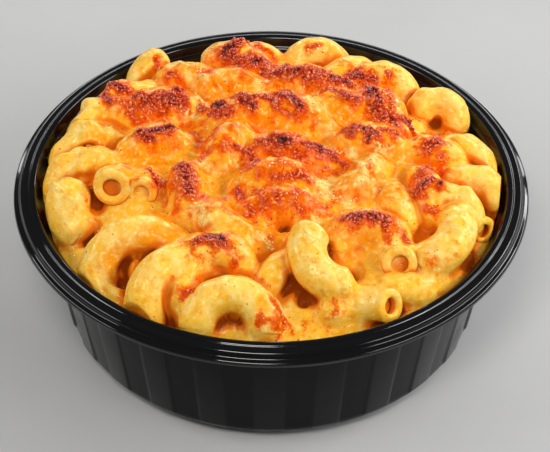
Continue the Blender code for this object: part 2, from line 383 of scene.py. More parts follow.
# %% [markdown]
# ### Black plastic
#
# The plastic is a deep, glossy black, more polished at the rim than down the wall. Formed sheet is
# never a perfect mirror: it has a faint long-wave unevenness and slightly duller patches, which
# keep its highlights from looking drawn with a ruler.

# %% Black plastic finish
def black_plastic():
    """Black all through. Its reflection grows with height from the wall to the rim."""
    material, tree, shader = new_material("black_plastic_gloss")
    shader.inputs["Base Color"].default_value = (0.004, 0.004, 0.0045, 1.0)
    shader.inputs["IOR"].default_value = 1.45
    place = tree.nodes.new("ShaderNodeTexCoord")
    parts = tree.nodes.new("ShaderNodeSeparateXYZ")
    plug(tree, place.outputs["Object"], parts.inputs[0])
    low, high = (RIM_HEIGHT - 7.0) * MM, (RIM_HEIGHT - 3.0) * MM
    sheen = spread(tree, parts.outputs["Z"], low, high, 0.08, 0.50)
    plug(tree, sheen, shader.inputs["Specular IOR Level"])
    dull = spread(tree, noise(tree, 14.0, 3.0), 0.3, 0.7, 0.05, 0.11)
    plug(tree, dull, shader.inputs["Roughness"])
    plug(tree, bump(tree, noise(tree, 7.0, 1.0), 0.05), shader.inputs["Normal"])
    return material


shell_points, shell_faces = fluted_shell()
bowl_shell = make_piece("bowl_shell", shell_points, shell_faces, black_plastic())
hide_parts("bowl")

# %% [markdown]
# ## Elbow macaroni
#
# An elbow is a short hollow tube bent round an arc. Its middle line leaves a point P0 along a
# direction T and curls towards N, so at the angle a it is at P0 + R (sin a T + (1 - cos a) N).
# The wall of a cooked elbow is about 2.5 mm thick, and its cut ends have soft edges. The skin, the
# lip, the bore and the other lip make one closed ring of circles: a torus of four parts.
#
# The elbows at the front and sides of the bowl are placed one by one, and so are those that make
# the ridges under the cheese. The others are scattered between them, under the dome of the heap.

# %% Placed elbows
# x, y, lift of the tube's middle over the rim (mm), heading, climb and roll (degrees), sweep of
# the bend (degrees), where along the bend the point lies, bend radius and tube radius (mm).
PLACED = np.array([
    (-10.5, -54.0, 2.5, -2, -2, -41, 190, 0.5, 9.4, 5.2),       # front row
    (-30.9, -45.4, 3.2, 42, 15, -32, 150, 0.62, 11.5, 5.5),
    (-42.5, -32.5, 3.5, 19, 20, -44, 200, 0.5, 11.8, 5.4),
    (-58.6, -17.0, -0.8, 112, 47, -117, 100, 0.5, 9.0, 6.4),
    (33.6, -56.4, 1.0, 134, -26, 100, 90, 0.0, 13.0, 4.6),
    (-46.0, -15.4, 8.0, 87, -10, 4, 110, 0.0, 9.0, 5.3),        # open ends that face forward
    (-37.5, -16.2, 7.0, 79, -8, 5, 100, 0.0, 9.0, 4.3),
    (11.6, -35.5, 9.4, -122, -5, 64, 132, 0.0, 9.9, 5.3),
    (36.2, -42.0, 3.6, 84, -32, 100, 100, 0.0, 10.0, 4.9),
    (54.0, -15.5, 4.0, -25, -26, -47, 160, 0.5, 6.5, 4.6),      # right side
    (60.0, -3.0, 1.0, -7, -8, -42, 160, 0.5, 7.0, 5.0),
    (61.5, -22.5, -1.0, 120, -11, 54, 100, 0.0, 9.0, 4.0),
    (51.8, -32.0, 3.2, -121, -6, -70, 130, 0.5, 10.5, 5.3),
    (52.0, 32.0, 3.0, -13, -15, -43, 200, 0.5, 5.5, 4.4),       # back
    (59.0, 10.5, 1.5, -17, -19, -44, 170, 0.5, 6.5, 4.6),
    (37.0, 43.5, 3.0, -21, -22, -45, 180, 0.5, 7.0, 4.8),
    (15.0, 57.5, 2.5, -7, -8, -42, 170, 0.5, 7.0, 4.8),
    (-3.5, 57.0, 2.0, -10, -11, -42, 170, 0.5, 6.0, 3.9),
    (-34.5, 52.5, 3.0, -167, -15, 43, 110, 0.0, 9.5, 4.8),
    (-52.0, 23.5, 3.0, 17, 19, -44, 130, 0.5, 10.0, 4.8),       # left side
    (-58.0, 1.5, 1.5, 21, 22, -45, 150, 0.5, 10.0, 4.8),
    (-56.5, 14.5, 2.0, 13, 15, -43, 150, 0.5, 9.0, 4.0),
    (2.5, -9.5, 8.0, -3, -4, -41, 160, 0.5, 10.5, 5.0),         # high middle
    (-6.0, 21.0, 8.0, 2, 2, -41, 150, 0.5, 12.0, 5.4),
    (4.0, 4.0, 7.6, -12, 0, -41, 150, 0.5, 10.0, 4.8),          # ridges under the blanket
    (9.0, 21.5, 7.2, -25, 0, -41, 150, 0.5, 9.0, 4.6),
    (-9.0, 50.5, 5.0, -35, -6, -40, 150, 0.5, 9.0, 5.0),
    (12.0, 37.0, 6.6, -12, -4, -40, 150, 0.5, 10.0, 5.0),
    (34.5, 23.5, 6.0, -62, -8, -35, 150, 0.5, 10.0, 5.0),
    (28.0, 9.5, 6.8, 8, 0, -41, 150, 0.5, 8.5, 4.6),
    (27.0, -28.5, 6.2, 4, 0, -41, 160, 0.5, 9.0, 4.9),
    (-34.0, 26.5, 5.8, 6, 2, -30, 130, 0.5, 10.5, 5.2),
    (-34.0, 9.0, 6.2, 0, 0, -41, 150, 0.5, 8.5, 4.6),
    (-24.3, -14.0, 7.0, -88, -2, 10, 150, 0.5, 9.0, 4.8),
    (-15.0, -38.5, 5.6, -10, 0, -41, 150, 0.5, 9.0, 4.8),
    (45.0, -12.0, 4.8, -75, -4, -10, 140, 0.5, 9.0, 4.6),
    (48.5, 6.5, 4.4, -20, -6, -41, 150, 0.5, 8.0, 4.6)])
OPEN_ENDS = (4, 5, 6, 7, 8, 11)                  # those whose first end is cut open and in sight
print(len(PLACED), "elbows placed one by one,", len(OPEN_ENDS), "of them with an end in sight")

# %% [markdown]
# ### The line down the middle of a tube
#
# The ten numbers of an elbow turn into a start, three directions square to each other and an arc.
# Everything else, from the skin to the coat of sauce, is measured from that line.

# %% An elbow's axes and middle line
def elbow_axes(elbow):
    """P0, and the unit directions T along the tube, N towards the bend's middle and B square to
    both."""
    h, c, w = np.radians(elbow[3:6])
    along = np.array([np.cos(c) * np.cos(h), np.cos(c) * np.sin(h), np.sin(c)])
    down = np.array([np.sin(c) * np.cos(h), np.sin(c) * np.sin(h), -np.cos(c)])
    left = np.array([-np.sin(h), np.cos(h), 0.0])
    inwards = np.cos(w) * down + np.sin(w) * left
    start = np.array([elbow[0], elbow[1], RIM_HEIGHT + elbow[2]])
    return start, along, inwards, np.cross(along, inwards)


def middle_line(elbow, samples=15):
    """Points along the arc, evenly spaced in angle."""
    start, along, inwards, _square = elbow_axes(elbow)
    sweep, anchor, bend = elbow[6:9]
    a = np.radians(np.linspace(-sweep * anchor, sweep * (1 - anchor), samples))[:, None]
    return start + bend * (np.sin(a) * along + (1 - np.cos(a)) * inwards)


first_line = middle_line(PLACED[0])
print("the front elbow spans", round(float(np.ptp(first_line[:, 0])), 1), "mm from leg to leg")

# %% [markdown]
# ### Scattered elbows
#
# Macaroni falls into a bowl at random, so the elbows that only half show are drawn at random too,
# and an elbow is thrown away if it runs deep into another, pokes through the wall or shuts one of
# the dark gaps between the placed ones. The cheese hides where tubes meet, so a scattered elbow
# may overlap a neighbour by up to 3 mm. Some placed ones overlap by more. A fixed seed gives the
# same heap in every run.

# %% Scattered elbows
CLEARINGS = np.array([                           # gaps to keep open: x, y, radius
    (-49.5, -26.0, 8.0), (-37.0, -43.0, 6.0), (4.0, -30.0, 7.0), (21.5, -42.0, 7.0),
    (-12.0, -64.0, 6.0), (-28.0, -58.0, 6.0), (9.0, -54.0, 6.0)])
CROWN_LIFT, CROWN_DROP, DOME_POWER = 12.5, 11.0, 4.0
ATTEMPTS = 6000


def crown_dome(radius):
    """Height of the elbows' tops: flat in the middle, falling away towards the wall with the
    fourth power of the radius."""
    return RIM_HEIGHT + CROWN_LIFT - CROWN_DROP * (radius / FOOD_LEVEL_RADIUS) ** DOME_POWER


def scatter_elbows(seed=11):
    """Tries random places and turns under the dome, and keeps an elbow if it stays inside the
    wall and its middle line is 1.5 tube radii clear of every other."""
    rng = np.random.default_rng(seed)
    taken, found = [middle_line(e) for e in PLACED], []
    for _attempt in range(ATTEMPTS):
        radius = 60.0 * sqrt(rng.random())
        around = rng.random() * 2 * pi
        tube = rng.uniform(4.2, 5.0)
        lift = crown_dome(radius) - RIM_HEIGHT - tube - rng.uniform(0.0, 4.0)
        elbow = np.array([radius * np.cos(around), radius * np.sin(around), lift,
                          rng.uniform(0, 360), rng.uniform(-15, 15), rng.uniform(-75, 75),
                          rng.uniform(110, 165), 0.5, rng.uniform(7.5, 10.5), tube])
        line = middle_line(elbow)
        reach = np.hypot(line[:, 0], line[:, 1]).max() + tube
        away = np.hypot(line[:, None, 0] - CLEARINGS[:, 0], line[:, None, 1] - CLEARINGS[:, 1])
        if (away < CLEARINGS[:, 2]).any():
            continue
        near = min(np.linalg.norm(line[:, None] - other[None], axis=2).min() for other in taken)
        if reach < FOOD_LEVEL_RADIUS - 0.55 and near > 1.5 * tube:
            found.append(elbow)
            taken.append(line)
    return np.array(found)


SCATTERED = scatter_elbows()
ELBOWS = np.vstack([PLACED, SCATTERED])
print(len(SCATTERED), "scattered elbows among them")

# %% [markdown]
# ### The wall from inside
#
# Nothing in the bowl may poke through its thin wall. The wall's inside radius at each height comes
# from the same cross-section that made the bowl, and what is past it is drawn back.

# %% The wall from inside
def wall_radius(height):
    """Inside radius of the bowl's wall at a height; above the ledge it stays at the wall's top."""
    wall = food_side[food_side[:, 0] > 55.0]
    return np.interp(height, wall[:, 1], np.minimum(wall[:, 0], FOOD_LEVEL_RADIUS + 0.2))


def keep_inside(points, gap):
    """Draws points that are past the bowl's wall back to a gap inside it."""
    flat = np.hypot(points[..., 0], points[..., 1])
    share = np.minimum(1.0, (wall_radius(points[..., 2]) - gap) / np.maximum(flat, 1e-6))
    points[..., :2] *= share[..., None]
    return points


print("inside the wall at half height:", round(float(wall_radius(RIM_HEIGHT / 2)), 1), "mm from the axis")

# %% [markdown]
# ### The elbow's surface
#
# A cut tube could be a solid with a hole cut out of it, but a boolean cut leaves ragged faces. Here
# the tube is one grid instead. Its rows are the circles met on a trip along the skin, round the
# lip, back through the bore and round the other lip, so it is closed and its ends are soft.

# %% The elbow's surface
BORE_SHARE = 0.50                             # bore radius over tube radius
LIP = 1.2                                     # how far a soft lip reaches past the cut, mm


def elbow_section(sweep, anchor, bend, tube, along):
    """One trip along the tube and back: (angle, radius, push past the end) for the skin, the first
    lip, the bore and the second lip. A lip is a half ring between the two radii, flattened as a
    cut face is, with its push growing as the square root of the cosine."""
    first, last = np.radians((-sweep * anchor, sweep * (1 - anchor)))
    inset = LIP / bend
    turn = np.radians((70, 40, 0, -40, -70))
    bore, thick = BORE_SHARE * tube, (1 - BORE_SHARE) * tube / 2
    lip_radius = (tube + bore) / 2 + thick * np.sin(turn)
    lip_push = LIP * np.sqrt(np.cos(turn))
    skin = np.linspace(first + inset, last - inset, along)
    inner = np.linspace(last - inset, first + inset, max(8, along // 3))
    lip = np.ones(len(turn))
    angle = np.concatenate([skin, (last - inset) * lip, inner, (first + inset) * lip])
    radius = np.concatenate([np.full(along, tube), lip_radius, np.full(len(inner), bore),
                             lip_radius[::-1]])
    push = np.concatenate([np.zeros(along), lip_push, np.zeros(len(inner)), -lip_push[::-1]])
    return angle, radius, push


def elbow_surface(elbow, along, around, seed, flush=0.0):
    """Grid of (section place, turn round the tube). The circle at the angle a stands on the
    outward direction sin a T - cos a N and on B, squashed a little and softly dented. An elbow
    with an end in sight is made flush with the coat that stops there."""
    start, ahead, inwards, square = elbow_axes(elbow)
    sweep, anchor, bend, tube = elbow[6:10]
    angle, radius, push = elbow_section(sweep, anchor, bend, tube, along)
    rng = np.random.default_rng(seed)
    turn = np.linspace(0, 2 * pi, around, endpoint=False)[None, :, None]
    a, push = angle[:, None, None], push[:, None, None]
    middle = start + bend * (np.sin(a) * ahead + (1 - np.cos(a)) * inwards)
    outward = np.sin(a) * ahead - np.cos(a) * inwards
    tangent = np.cos(a) * ahead + np.sin(a) * inwards
    squash, lean, p, q = rng.uniform((0.0, 0, 0, 0), (0.02, 2 * pi, 2 * pi, 2 * pi))
    dents = 0.07 * np.sin(3 * a + p) * np.sin(2 * turn + q) + 0.05 * np.sin(5 * a + q + turn)
    size = radius[:, None, None] * (1 + squash * np.cos(2 * turn + lean)) + dents
    ring = np.cos(turn) * outward + np.sin(turn) * square
    size = size + flush * (radius > 0.9 * tube)[:, None, None]
    return keep_inside(middle + push * tangent + size * ring, 0.25)


sample = elbow_surface(PLACED[0], 28, 26, 0)
print("one elbow:", sample.shape[0], "circles of", sample.shape[1], "points")

# %% [markdown]
# ## The melted cheese as a height map
#
# Sauce and melted cheese lie over the elbows and fill the valleys between them. The way to get
# that shape is to roll a ball over the heap: where the ball can't reach, the cheese is. On a
# height map this is two passes. The first raises each point to the highest ball centre over
# it, the second lowers the same ball back. A small ball leaves deep valleys and bare tubes, as
# at the edge of the bowl, and a large one leaves a smooth blanket, as in the middle.

# %% Maps, shifted and blurred
CELL, HALF = 0.4, 70.0                        # cell and half width of every map, mm
ticks = np.arange(-HALF, HALF + CELL / 2, CELL)
MAP_X, MAP_Y = np.meshgrid(ticks, ticks, indexing="ij")
MAP_R = np.hypot(MAP_X, MAP_Y)


def shifted(field, i, j, fill):
    """The field moved by i and j cells, with fill where nothing arrives."""
    moved = np.full_like(field, fill)
    n, m = field.shape
    moved[max(i, 0):n + min(i, 0), max(j, 0):m + min(j, 0)] = \
        field[max(-i, 0):n + min(-i, 0), max(-j, 0):m + min(-j, 0)]
    return moved


def soften(field, size):
    """Gaussian blur of that size in millimetres, through the Fourier transform."""
    pad = int(3 * size / CELL) + 1
    wide = np.pad(field, pad, mode="edge")
    fx = np.fft.fftfreq(wide.shape[0], CELL)[:, None]
    fy = np.fft.rfftfreq(wide.shape[1], CELL)[None]
    keep = np.exp(-2 * (pi * size) ** 2 * (fx ** 2 + fy ** 2))
    smooth = np.fft.irfft2(np.fft.rfft2(wide) * keep, s=wide.shape)
    return smooth[pad:-pad, pad:-pad]


print("each map has", MAP_X.size, "cells")

# %% [markdown]
# ### Rolling a ball over the elbows
#
# The map of the elbows' tops is filled from points of their skins. The sauce between them follows
# the dome of the heap, a little lower towards the wall.

# %% Height map of the elbows
SAUCE_DEPTH = 6.5                             # of the sauce under the elbows' tops, mm
NOTHING = -1e3                                # height where there is no elbow


def rolled_ball(field, radius):
    """Closing by a ball: raise by the ball's height over every offset, then lower by the same."""
    reach = int(radius / CELL)
    offsets = [(i, j, sqrt(radius ** 2 - (i * i + j * j) * CELL ** 2))
               for i in range(-reach, reach + 1) for j in range(-reach, reach + 1)
               if (i * i + j * j) * CELL ** 2 < radius ** 2]
    raised = np.max([shifted(field, i, j, NOTHING) + lift for i, j, lift in offsets], axis=0)
    return np.min([shifted(raised, i, j, -NOTHING) - lift for i, j, lift in offsets], axis=0)


def tops_of(elbows):
    """Highest point of the elbows over each cell, from closely spaced points of their surfaces."""
    field = np.full(MAP_X.shape, NOTHING)
    for number, elbow in enumerate(elbows):
        points = elbow_surface(elbow, 80, 88, number).reshape(-1, 3)
        i, j = np.rint((points[:, :2].T + HALF) / CELL).astype(int)
        np.maximum.at(field, (i, j), points[:, 2])
    around = np.max([shifted(field, i, j, NOTHING) for i in (-1, 0, 1) for j in (-1, 0, 1)], axis=0)
    return np.where(field < 0, around, field)


elbow_tops = tops_of(ELBOWS)
blanket_edge = 44 + 5 * ripple(MAP_X, MAP_Y, 18, 3)
blanket = smooth_step(blanket_edge - np.hypot(MAP_X + 3, (MAP_Y - 8) * 1.02), -7, 7)
sauce_level = crown_dome(MAP_R) - SAUCE_DEPTH - 0.8 - 1.7 * (1 - blanket)
heap_top = np.maximum(elbow_tops, sauce_level)
print("highest elbow", round(float(heap_top.max()), 1), "mm")

# %% [markdown]
# ### Where the cheese lies thick, thin, or not at all
#
# The blanket of grated cheese covers the middle and the back. Towards the wall the elbows come
# out of it, wet with sauce. A few dark holes lead down between the elbows at the front. Such
# places are laid on a map as soft strokes, as with a brush: a line, a half width and a strength.

# %% Soft strokes
def strokes(rows):
    """Each row is a half width, a strength and then x, y, x, y of a line of points (mm)."""
    return [(np.reshape(row[2:], (-1, 2)), row[0], row[1]) for row in rows]


def patches(lines, wobble=0.25, seed=1):
    """Highest of the strokes at each cell. A stroke fades with exp(-(distance / width)^2), and its
    width is rippled so that its edge is ragged."""
    field = np.zeros(MAP_X.shape)
    for number, (line, width, strength) in enumerate(lines):
        away = np.full(MAP_X.shape, -NOTHING)
        for start, end in zip(line[:-1], line[1:]):
            way, x, y = end - start, MAP_X - start[0], MAP_Y - start[1]
            t = np.clip((x * way[0] + y * way[1]) / (way @ way + 1e-9), 0, 1)
            away = np.minimum(away, np.hypot(x - t * way[0], y - t * way[1]))
        ragged = width * (1 + wobble * ripple(MAP_X, MAP_Y, 2.5 * width + 1, seed + number, 8))
        field = np.maximum(field, strength * np.exp(-(away / np.maximum(ragged, 0.3)) ** 2))
    return field


dot = patches(strokes([(2.0, 1.0, 0.0, 0.0, 4.0, 0.0)]))
print("a 4 mm line 2 mm to each side covers", round(float((dot > 0.37).sum()) * CELL ** 2), "square mm")

# %% [markdown]
# ### The blanket, its fillets and its holes
#
# Two balls are rolled: a small one for the bare elbows and a larger one for the blanket, and the
# map goes from one to the other across the blanket's edge. Holes lower both the cheese and the
# sauce under it. Against the wall all of it falls to the level of the sauce.

# %% Blanket, fillets and holes
HOLES = strokes([                             # the strength is the depth in mm
    (1.7, 4.5, -52.0, -25.0, -51.8, -22.0), (2.0, 5.0, -41.8, -42.3, -41.2, -41.7),
    (1.2, 4.0, -36.0, -37.4, -33.4, -35.8), (2.0, 5.5, -28.1, -57.5, -28.0, -56.5),
    (1.8, 5.0, -14.5, -64.5, -10.0, -64.0), (2.0, 6.0, 3.0, -27.4, 4.8, -27.4),
    (2.3, 8.0, 20.6, -41.4, 22.8, -41.2), (1.5, 6.0, 9.1, -52.4, 9.3, -52.2),
    (2.2, 2.0, 1.8, -38.5, 2.6, -41.0), (2.2, 2.0, 2.4, -47.0, 3.0, -49.0),
    (1.8, 4.0, 36.0, -49.5, 41.0, -48.5)])
FILLS = strokes([                             # places where the sauce stands higher
    (2.4, 3.5, -38.8, -40.6, -37.8, -39.6), (3.0, 3.0, -46.5, -45.0, -44.0, -47.5),
    (3.3, 5.5, -26.0, -53.2, -23.5, -48.5, -20.0, -43.0), (6.0, 4.0, -46.0, -10.0, -38.0, -12.0),
    (5.0, 3.0, 34.0, -38.0, 36.0, -36.0), (4.5, 3.0, 23.0, -52.0, 28.0, -50.0),
    (6.0, 4.0, 44.0, -46.0, 54.0, -40.0, 60.0, -30.0), (5.0, 2.0, -58.0, -8.0, -62.0, 6.0)])
holes = patches(HOLES, 0.1, 40) - patches(FILLS, 0.1, 50)
bare = rolled_ball(heap_top, 2.0)
covered = rolled_ball(heap_top, 4.0) + 0.6
edge_fall = smooth_step(MAP_R, FOOD_LEVEL_RADIUS - 5, FOOD_LEVEL_RADIUS)
edge_level = RIM_HEIGHT - 4.8 + 1.0 * ripple(MAP_X, MAP_Y, 14, 9)


def fallen(field):
    """The field, brought down to the edge level against the wall."""
    return field + (np.minimum(field, edge_level) - field) * edge_fall


cheese_top = fallen(bare + (covered - bare) * blanket - holes)
sauce_floor = fallen(soften(sauce_level - holes + 0.25 * ripple(MAP_X, MAP_Y, 7, 12), 0.5))
cheese_low, cheese_high = cheese_top[MAP_R < 66].min(), cheese_top.max()
print("cheese from", round(float(cheese_low), 1), "to", round(float(cheese_high), 1), "mm")

# %% [markdown]
# ### Browned, molten and pale
#
# Under the grill the high ridges brown first: orange, then red, then nearly black at the points.
# Between them the cheese melts to smooth orange pools, and here and there a curd stays pale. Each
# of the three is a map of soft strokes along the ridges, and the shader turns their depths into
# colour.

# %% Browned strokes
BROWNED = strokes([
    (2.6, 0.72, -10.7, 52.7, -13.7, 48.8, -11.2, 45.5), (0.9, 0.92, -12.5, 50.2, -14.9, 49.5),
    (0.9, 0.92, -5.0, 44.9, -2.6, 45.7), (2.3, 0.7, -8.4, 45.3, -5.8, 44.8, -3.2, 44.2, 0.8, 38.2),
    (0.9, 0.5, -5.1, 55.7, -1.4, 55.3, 0.5, 53.0),
    (2.0, 0.66, -41.1, 24.7, -36.5, 22.8, -31.2, 23.9, -26.2, 27.2),
    (2.3, 0.55, -41.9, 21.9, -36.5, 20.8, -30.5, 22.0, -25.2, 23.3),
    (0.9, 0.75, -32.7, 24.7, -30.0, 25.5), (1.4, 0.6, -26.5, 27.0, -25.8, 23.0),
    (1.4, 0.5, -31.3, 39.8, -28.8, 38.7, -27.6, 37.4),
    (1.4, 0.48, -43.0, 20.0, -40.0, 18.2, -36.5, 19.5, -32.3, 20.2),
    (1.1, 0.78, -38.8, 7.5, -34.6, 7.4, -32.0, 8.5, -29.4, 9.2), (0.7, 1.0, -35.8, 6.5, -33.5, 7.7),
    (0.9, 0.75, -37.5, 5.3, -35.1, 4.7), (1.1, 0.52, -32.9, 6.4, -28.5, 7.6),
    (1.7, 0.82, -48.6, 33.7, -44.9, 31.4), (1.4, 0.85, -50.9, 29.8, -48.7, 24.9),
    (3.7, 0.36, -24.4, 16.6, -22.8, 12.7, -21.2, 8.2, -19.5, 0.9),
    (1.4, 0.8, -20.7, 22.9, -17.3, 20.8, -14.9, 18.4, -12.5, 17.1),
    (0.9, 0.97, -17.3, 20.8, -14.9, 17.8), (1.1, 0.58, -18.5, 17.8, -15.7, 15.9, -13.0, 15.4),
    (1.4, 0.78, -10.1, 20.4, -7.2, 19.7, -5.9, 17.4), (0.9, 0.85, -8.9, 19.2, -6.5, 17.6),
    (1.0, 0.66, -6.0, 19.7, -3.0, 20.9, 0.0, 20.2, 2.4, 19.1),
    (1.4, 0.68, -9.2, 0.4, -6.3, 0.5, -4.5, -6.8), (0.9, 0.85, -7.5, 0.1, -6.6, -1.5),
    (1.7, 0.46, -9.2, -1.5, -6.2, -9.6), (2.6, 0.62, -3.8, 44.6, 3.9, 36.7, 8.4, 35.2, 16.9, 33.8),
    (1.1, 0.78, -1.3, 45.8, 1.8, 48.7, 4.8, 36.9, 8.4, 36.4),
    (2.0, 0.84, 19.0, 33.8, 22.1, 35.1, 24.2, 34.3), (2.3, 0.58, 17.4, 29.7, 21.8, 24.6, 25.7, 22.9),
    (1.4, 0.97, 23.8, 41.4, 27.4, 39.4, 31.4, 38.4), (2.0, 0.86, 28.9, 30.1, 31.1, 23.2, 31.6, 19.7),
    (2.3, 0.72, 31.6, 18.7, 33.6, 15.4, 36.6, 14.6), (1.4, 0.68, 38.1, 16.6, 41.2, 17.0, 41.9, 16.1),
    (1.1, 0.46, 34.2, 39.0, 35.3, 24.5, 35.8, 19.6), (1.4, 0.6, 21.3, 9.3, 23.6, 7.3),
    (1.4, 0.75, 25.9, 8.9, 29.4, 7.1, 30.6, 6.8), (0.7, 0.9, 28.8, 5.6, 28.2, 4.4),
    (1.1, 0.58, 31.2, 8.8, 34.3, 9.4, 37.2, 9.0), (1.7, 0.85, 2.4, 22.3, 5.3, 21.6, 7.7, 18.6),
    (0.9, 0.93, 3.6, 30.2, 5.9, 22.9), (1.4, 0.48, 1.2, 16.8, 5.4, 16.7, 8.3, 15.6),
    (2.6, 0.58, -4.0, 2.0, 3.6, 1.6, 8.2, 0.9, 13.5, 0.9), (1.3, 1.0, 3.0, 1.5, 4.2, 0.5),
    (2.0, 0.52, -2.8, -0.4, 3.9, -1.3, 8.3, -2.3, 14.7, -1.8), (1.4, 0.84, 14.7, 0.8, 18.3, 1.3),
    (1.1, 0.9, 18.3, 0.6, 20.9, -2.3), (1.7, 0.44, 8.3, -3.2, 11.9, -4.5, 15.6, -4.5, 20.6, -3.8),
    (1.7, 0.64, 45.9, 5.3, 49.5, 6.0), (0.9, 0.8, 46.5, 3.3, 48.2, 4.4),
    (0.9, 0.44, 46.2, 21.2, 49.4, 22.3, 52.5, 23.1),
    (0.9, 0.74, -35.4, -9.0, -33.6, -11.5, -32.9, -13.6), (0.9, 0.6, -32.1, -13.0, -30.4, -12.5),
    (2.3, 0.68, -25.3, -7.9, -24.1, -15.8, -23.2, -19.7),
    (1.0, 0.78, -24.5, -12.7, -24.3, -16.8, -24.1, -19.7),
    (3.7, 0.38, -26.8, -15.3, -24.6, -17.9, -22.4, -19.8, -20.3, -20.5),
    (0.9, 0.84, -9.8, -17.1, -7.5, -19.9), (1.7, 0.6, -7.5, -22.1, -5.4, -24.9, -6.6, -26.7),
    (3.4, 0.32, -13.3, -18.8, -10.6, -20.1, -5.3, -23.6, -2.6, -24.6),
    (2.0, 0.42, -1.8, -21.3, -1.1, -24.2, -0.3, -25.7),
    (2.0, 0.62, -19.8, -39.9, -16.4, -40.4, -12.5, -40.0), (1.1, 0.92, -17.6, -38.8, -13.6, -39.6),
    (1.4, 0.54, 0.5, -14.1, 3.2, -14.4, 5.9, -13.2, 10.5, -13.8),
    (1.7, 0.38, -11.4, -42.6, -9.7, -45.2), (1.7, 0.74, 42.7, -14.9, 45.7, -12.3),
    (0.9, 0.88, 43.9, -14.5, 46.2, -12.2), (0.7, 1.0, 48.7, -14.4, 48.7, -15.1),
    (2.6, 0.46, 41.4, -14.9, 42.8, -12.4, 44.5, -7.3, 49.5, 0.3),
    (1.4, 0.74, 21.1, -30.7, 24.5, -30.5, 28.4, -29.9, 33.0, -30.2),
    (0.9, 0.78, 32.4, -31.5, 33.0, -32.3), (0.9, 0.5, 44.3, -21.0, 47.2, -21.5),
    (0.7, 0.75, 37.8, -34.0, 38.6, -35.2), (0.7, 0.72, 34.8, 40.8, 35.7, 40.0),
    (0.7, 0.46, 11.3, 54.8, 14.8, 55.2), (0.9, 0.42, -36.0, 49.0, -34.5, 44.2),
    (1.3, 0.42, -19.6, -49.9, -22.3, -52.7, -23.9, -54.4),
    (1.4, 0.4, -2.3, -62.2, 0.9, -62.2, 4.1, -60.5),
    (1.1, 0.36, 0.4, -57.0, 1.8, -58.5, 4.6, -59.4, 6.0, -61.1),
    (2.3, 0.2, 12.7, -57.2, 15.9, -58.2, 19.2, -57.5), (0.7, 0.34, 17.0, -58.7, 19.8, -57.7),
    (2.9, 0.36, -2.6, -23.4, 2.7, -24.7, 8.7, -24.5, 15.4, -21.3),
    (2.6, 0.4, -5.5, -17.6, -2.2, -20.8, 4.3, -21.6, 7.6, -19.4),
    (3.4, 0.3, -19.8, 10.8, -17.1, 2.3, -14.6, 0.3, -12.1, -0.3),
    (0.9, 0.3, -52.8, -17.5, -51.2, -17.1), (0.6, 0.32, 51.7, -39.4, 53.0, -39.2),
    (3.4, 0.34, -2.7, -11.7, 2.6, -11.6, 8.2, -10.9, 14.1, -6.0),
    (2.3, 0.14, 44.6, -41.7, 47.5, -42.1, 50.5, -40.6)])
print(len(BROWNED), "browned strokes")

# %% [markdown]
# ### Pools, curds, lumps and strings
#
# Cheese that melted through runs together into smooth pools. Curds that melted last stay pale. At
# the sides the cheese is in lumps, and over one dip it is drawn out into strings.

# %% Molten and pale strokes
MOLTEN = strokes([
    (2.9, 1.0, -20.4, 35.4, -17.7, 34.4, -14.9, 33.6, -12.2, 33.1),
    (2.0, 0.9, -17.3, 30.8, -14.3, 31.9, -11.3, 31.7),
    (2.6, 0.7, -8.0, 14.9, -2.6, 14.9, 0.0, 14.7, 5.4, 14.9),
    (3.1, 1.0, 15.8, 18.0, 19.3, 19.3, 22.8, 18.7, 26.3, 18.5),
    (2.6, 0.9, 37.8, 3.2, 40.4, 3.6, 43.0, 3.5), (2.6, 1.0, 31.8, -15.7, 34.6, -16.8, 37.5, -17.3),
    (3.1, 0.9, 19.4, -33.4, 22.2, -33.8, 25.1, -33.8, 27.9, -33.6),
    (2.9, 0.8, -44.1, 4.4, -41.3, 3.2, -38.7, 2.6),
    (3.4, 1.0, -34.0, -34.1, -31.5, -34.6, -29.0, -35.0),
    (2.6, 1.0, -8.6, -40.5, -5.6, -39.7, -2.5, -37.8), (2.9, 0.8, -18.1, 4.8, -15.4, 1.2, -12.7, 0.0),
    (2.0, 0.8, -33.3, -20.9, -30.8, -23.0, -28.3, -24.3),
    (2.0, 0.7, -2.3, -58.3, -1.7, -60.5, -1.2, -62.4, -0.6, -64.0),
    (2.6, 0.5, 44.2, -24.6, 44.4, -35.6, 46.3, -41.2, 47.5, -42.2), (1.4, 0.8, 35.4, 38.8, 35.9, 24.0),
    (1.7, 0.9, 52.0, 27.9, 54.4, 26.7), (1.7, 0.7, 57.9, -7.7, 61.5, -8.8),
    (2.0, 0.7, 17.9, 54.5, 20.9, 49.0),
    (2.6, 0.8, -46.8, -41.2, -43.0, -38.5, -41.0, -37.5, -34.0, -36.2),
    (1.7, 0.6, 0.4, -57.0, -0.1, -60.3, -0.6, -62.7), (2.0, 0.6, -52.1, 10.1, -47.4, 9.6)])
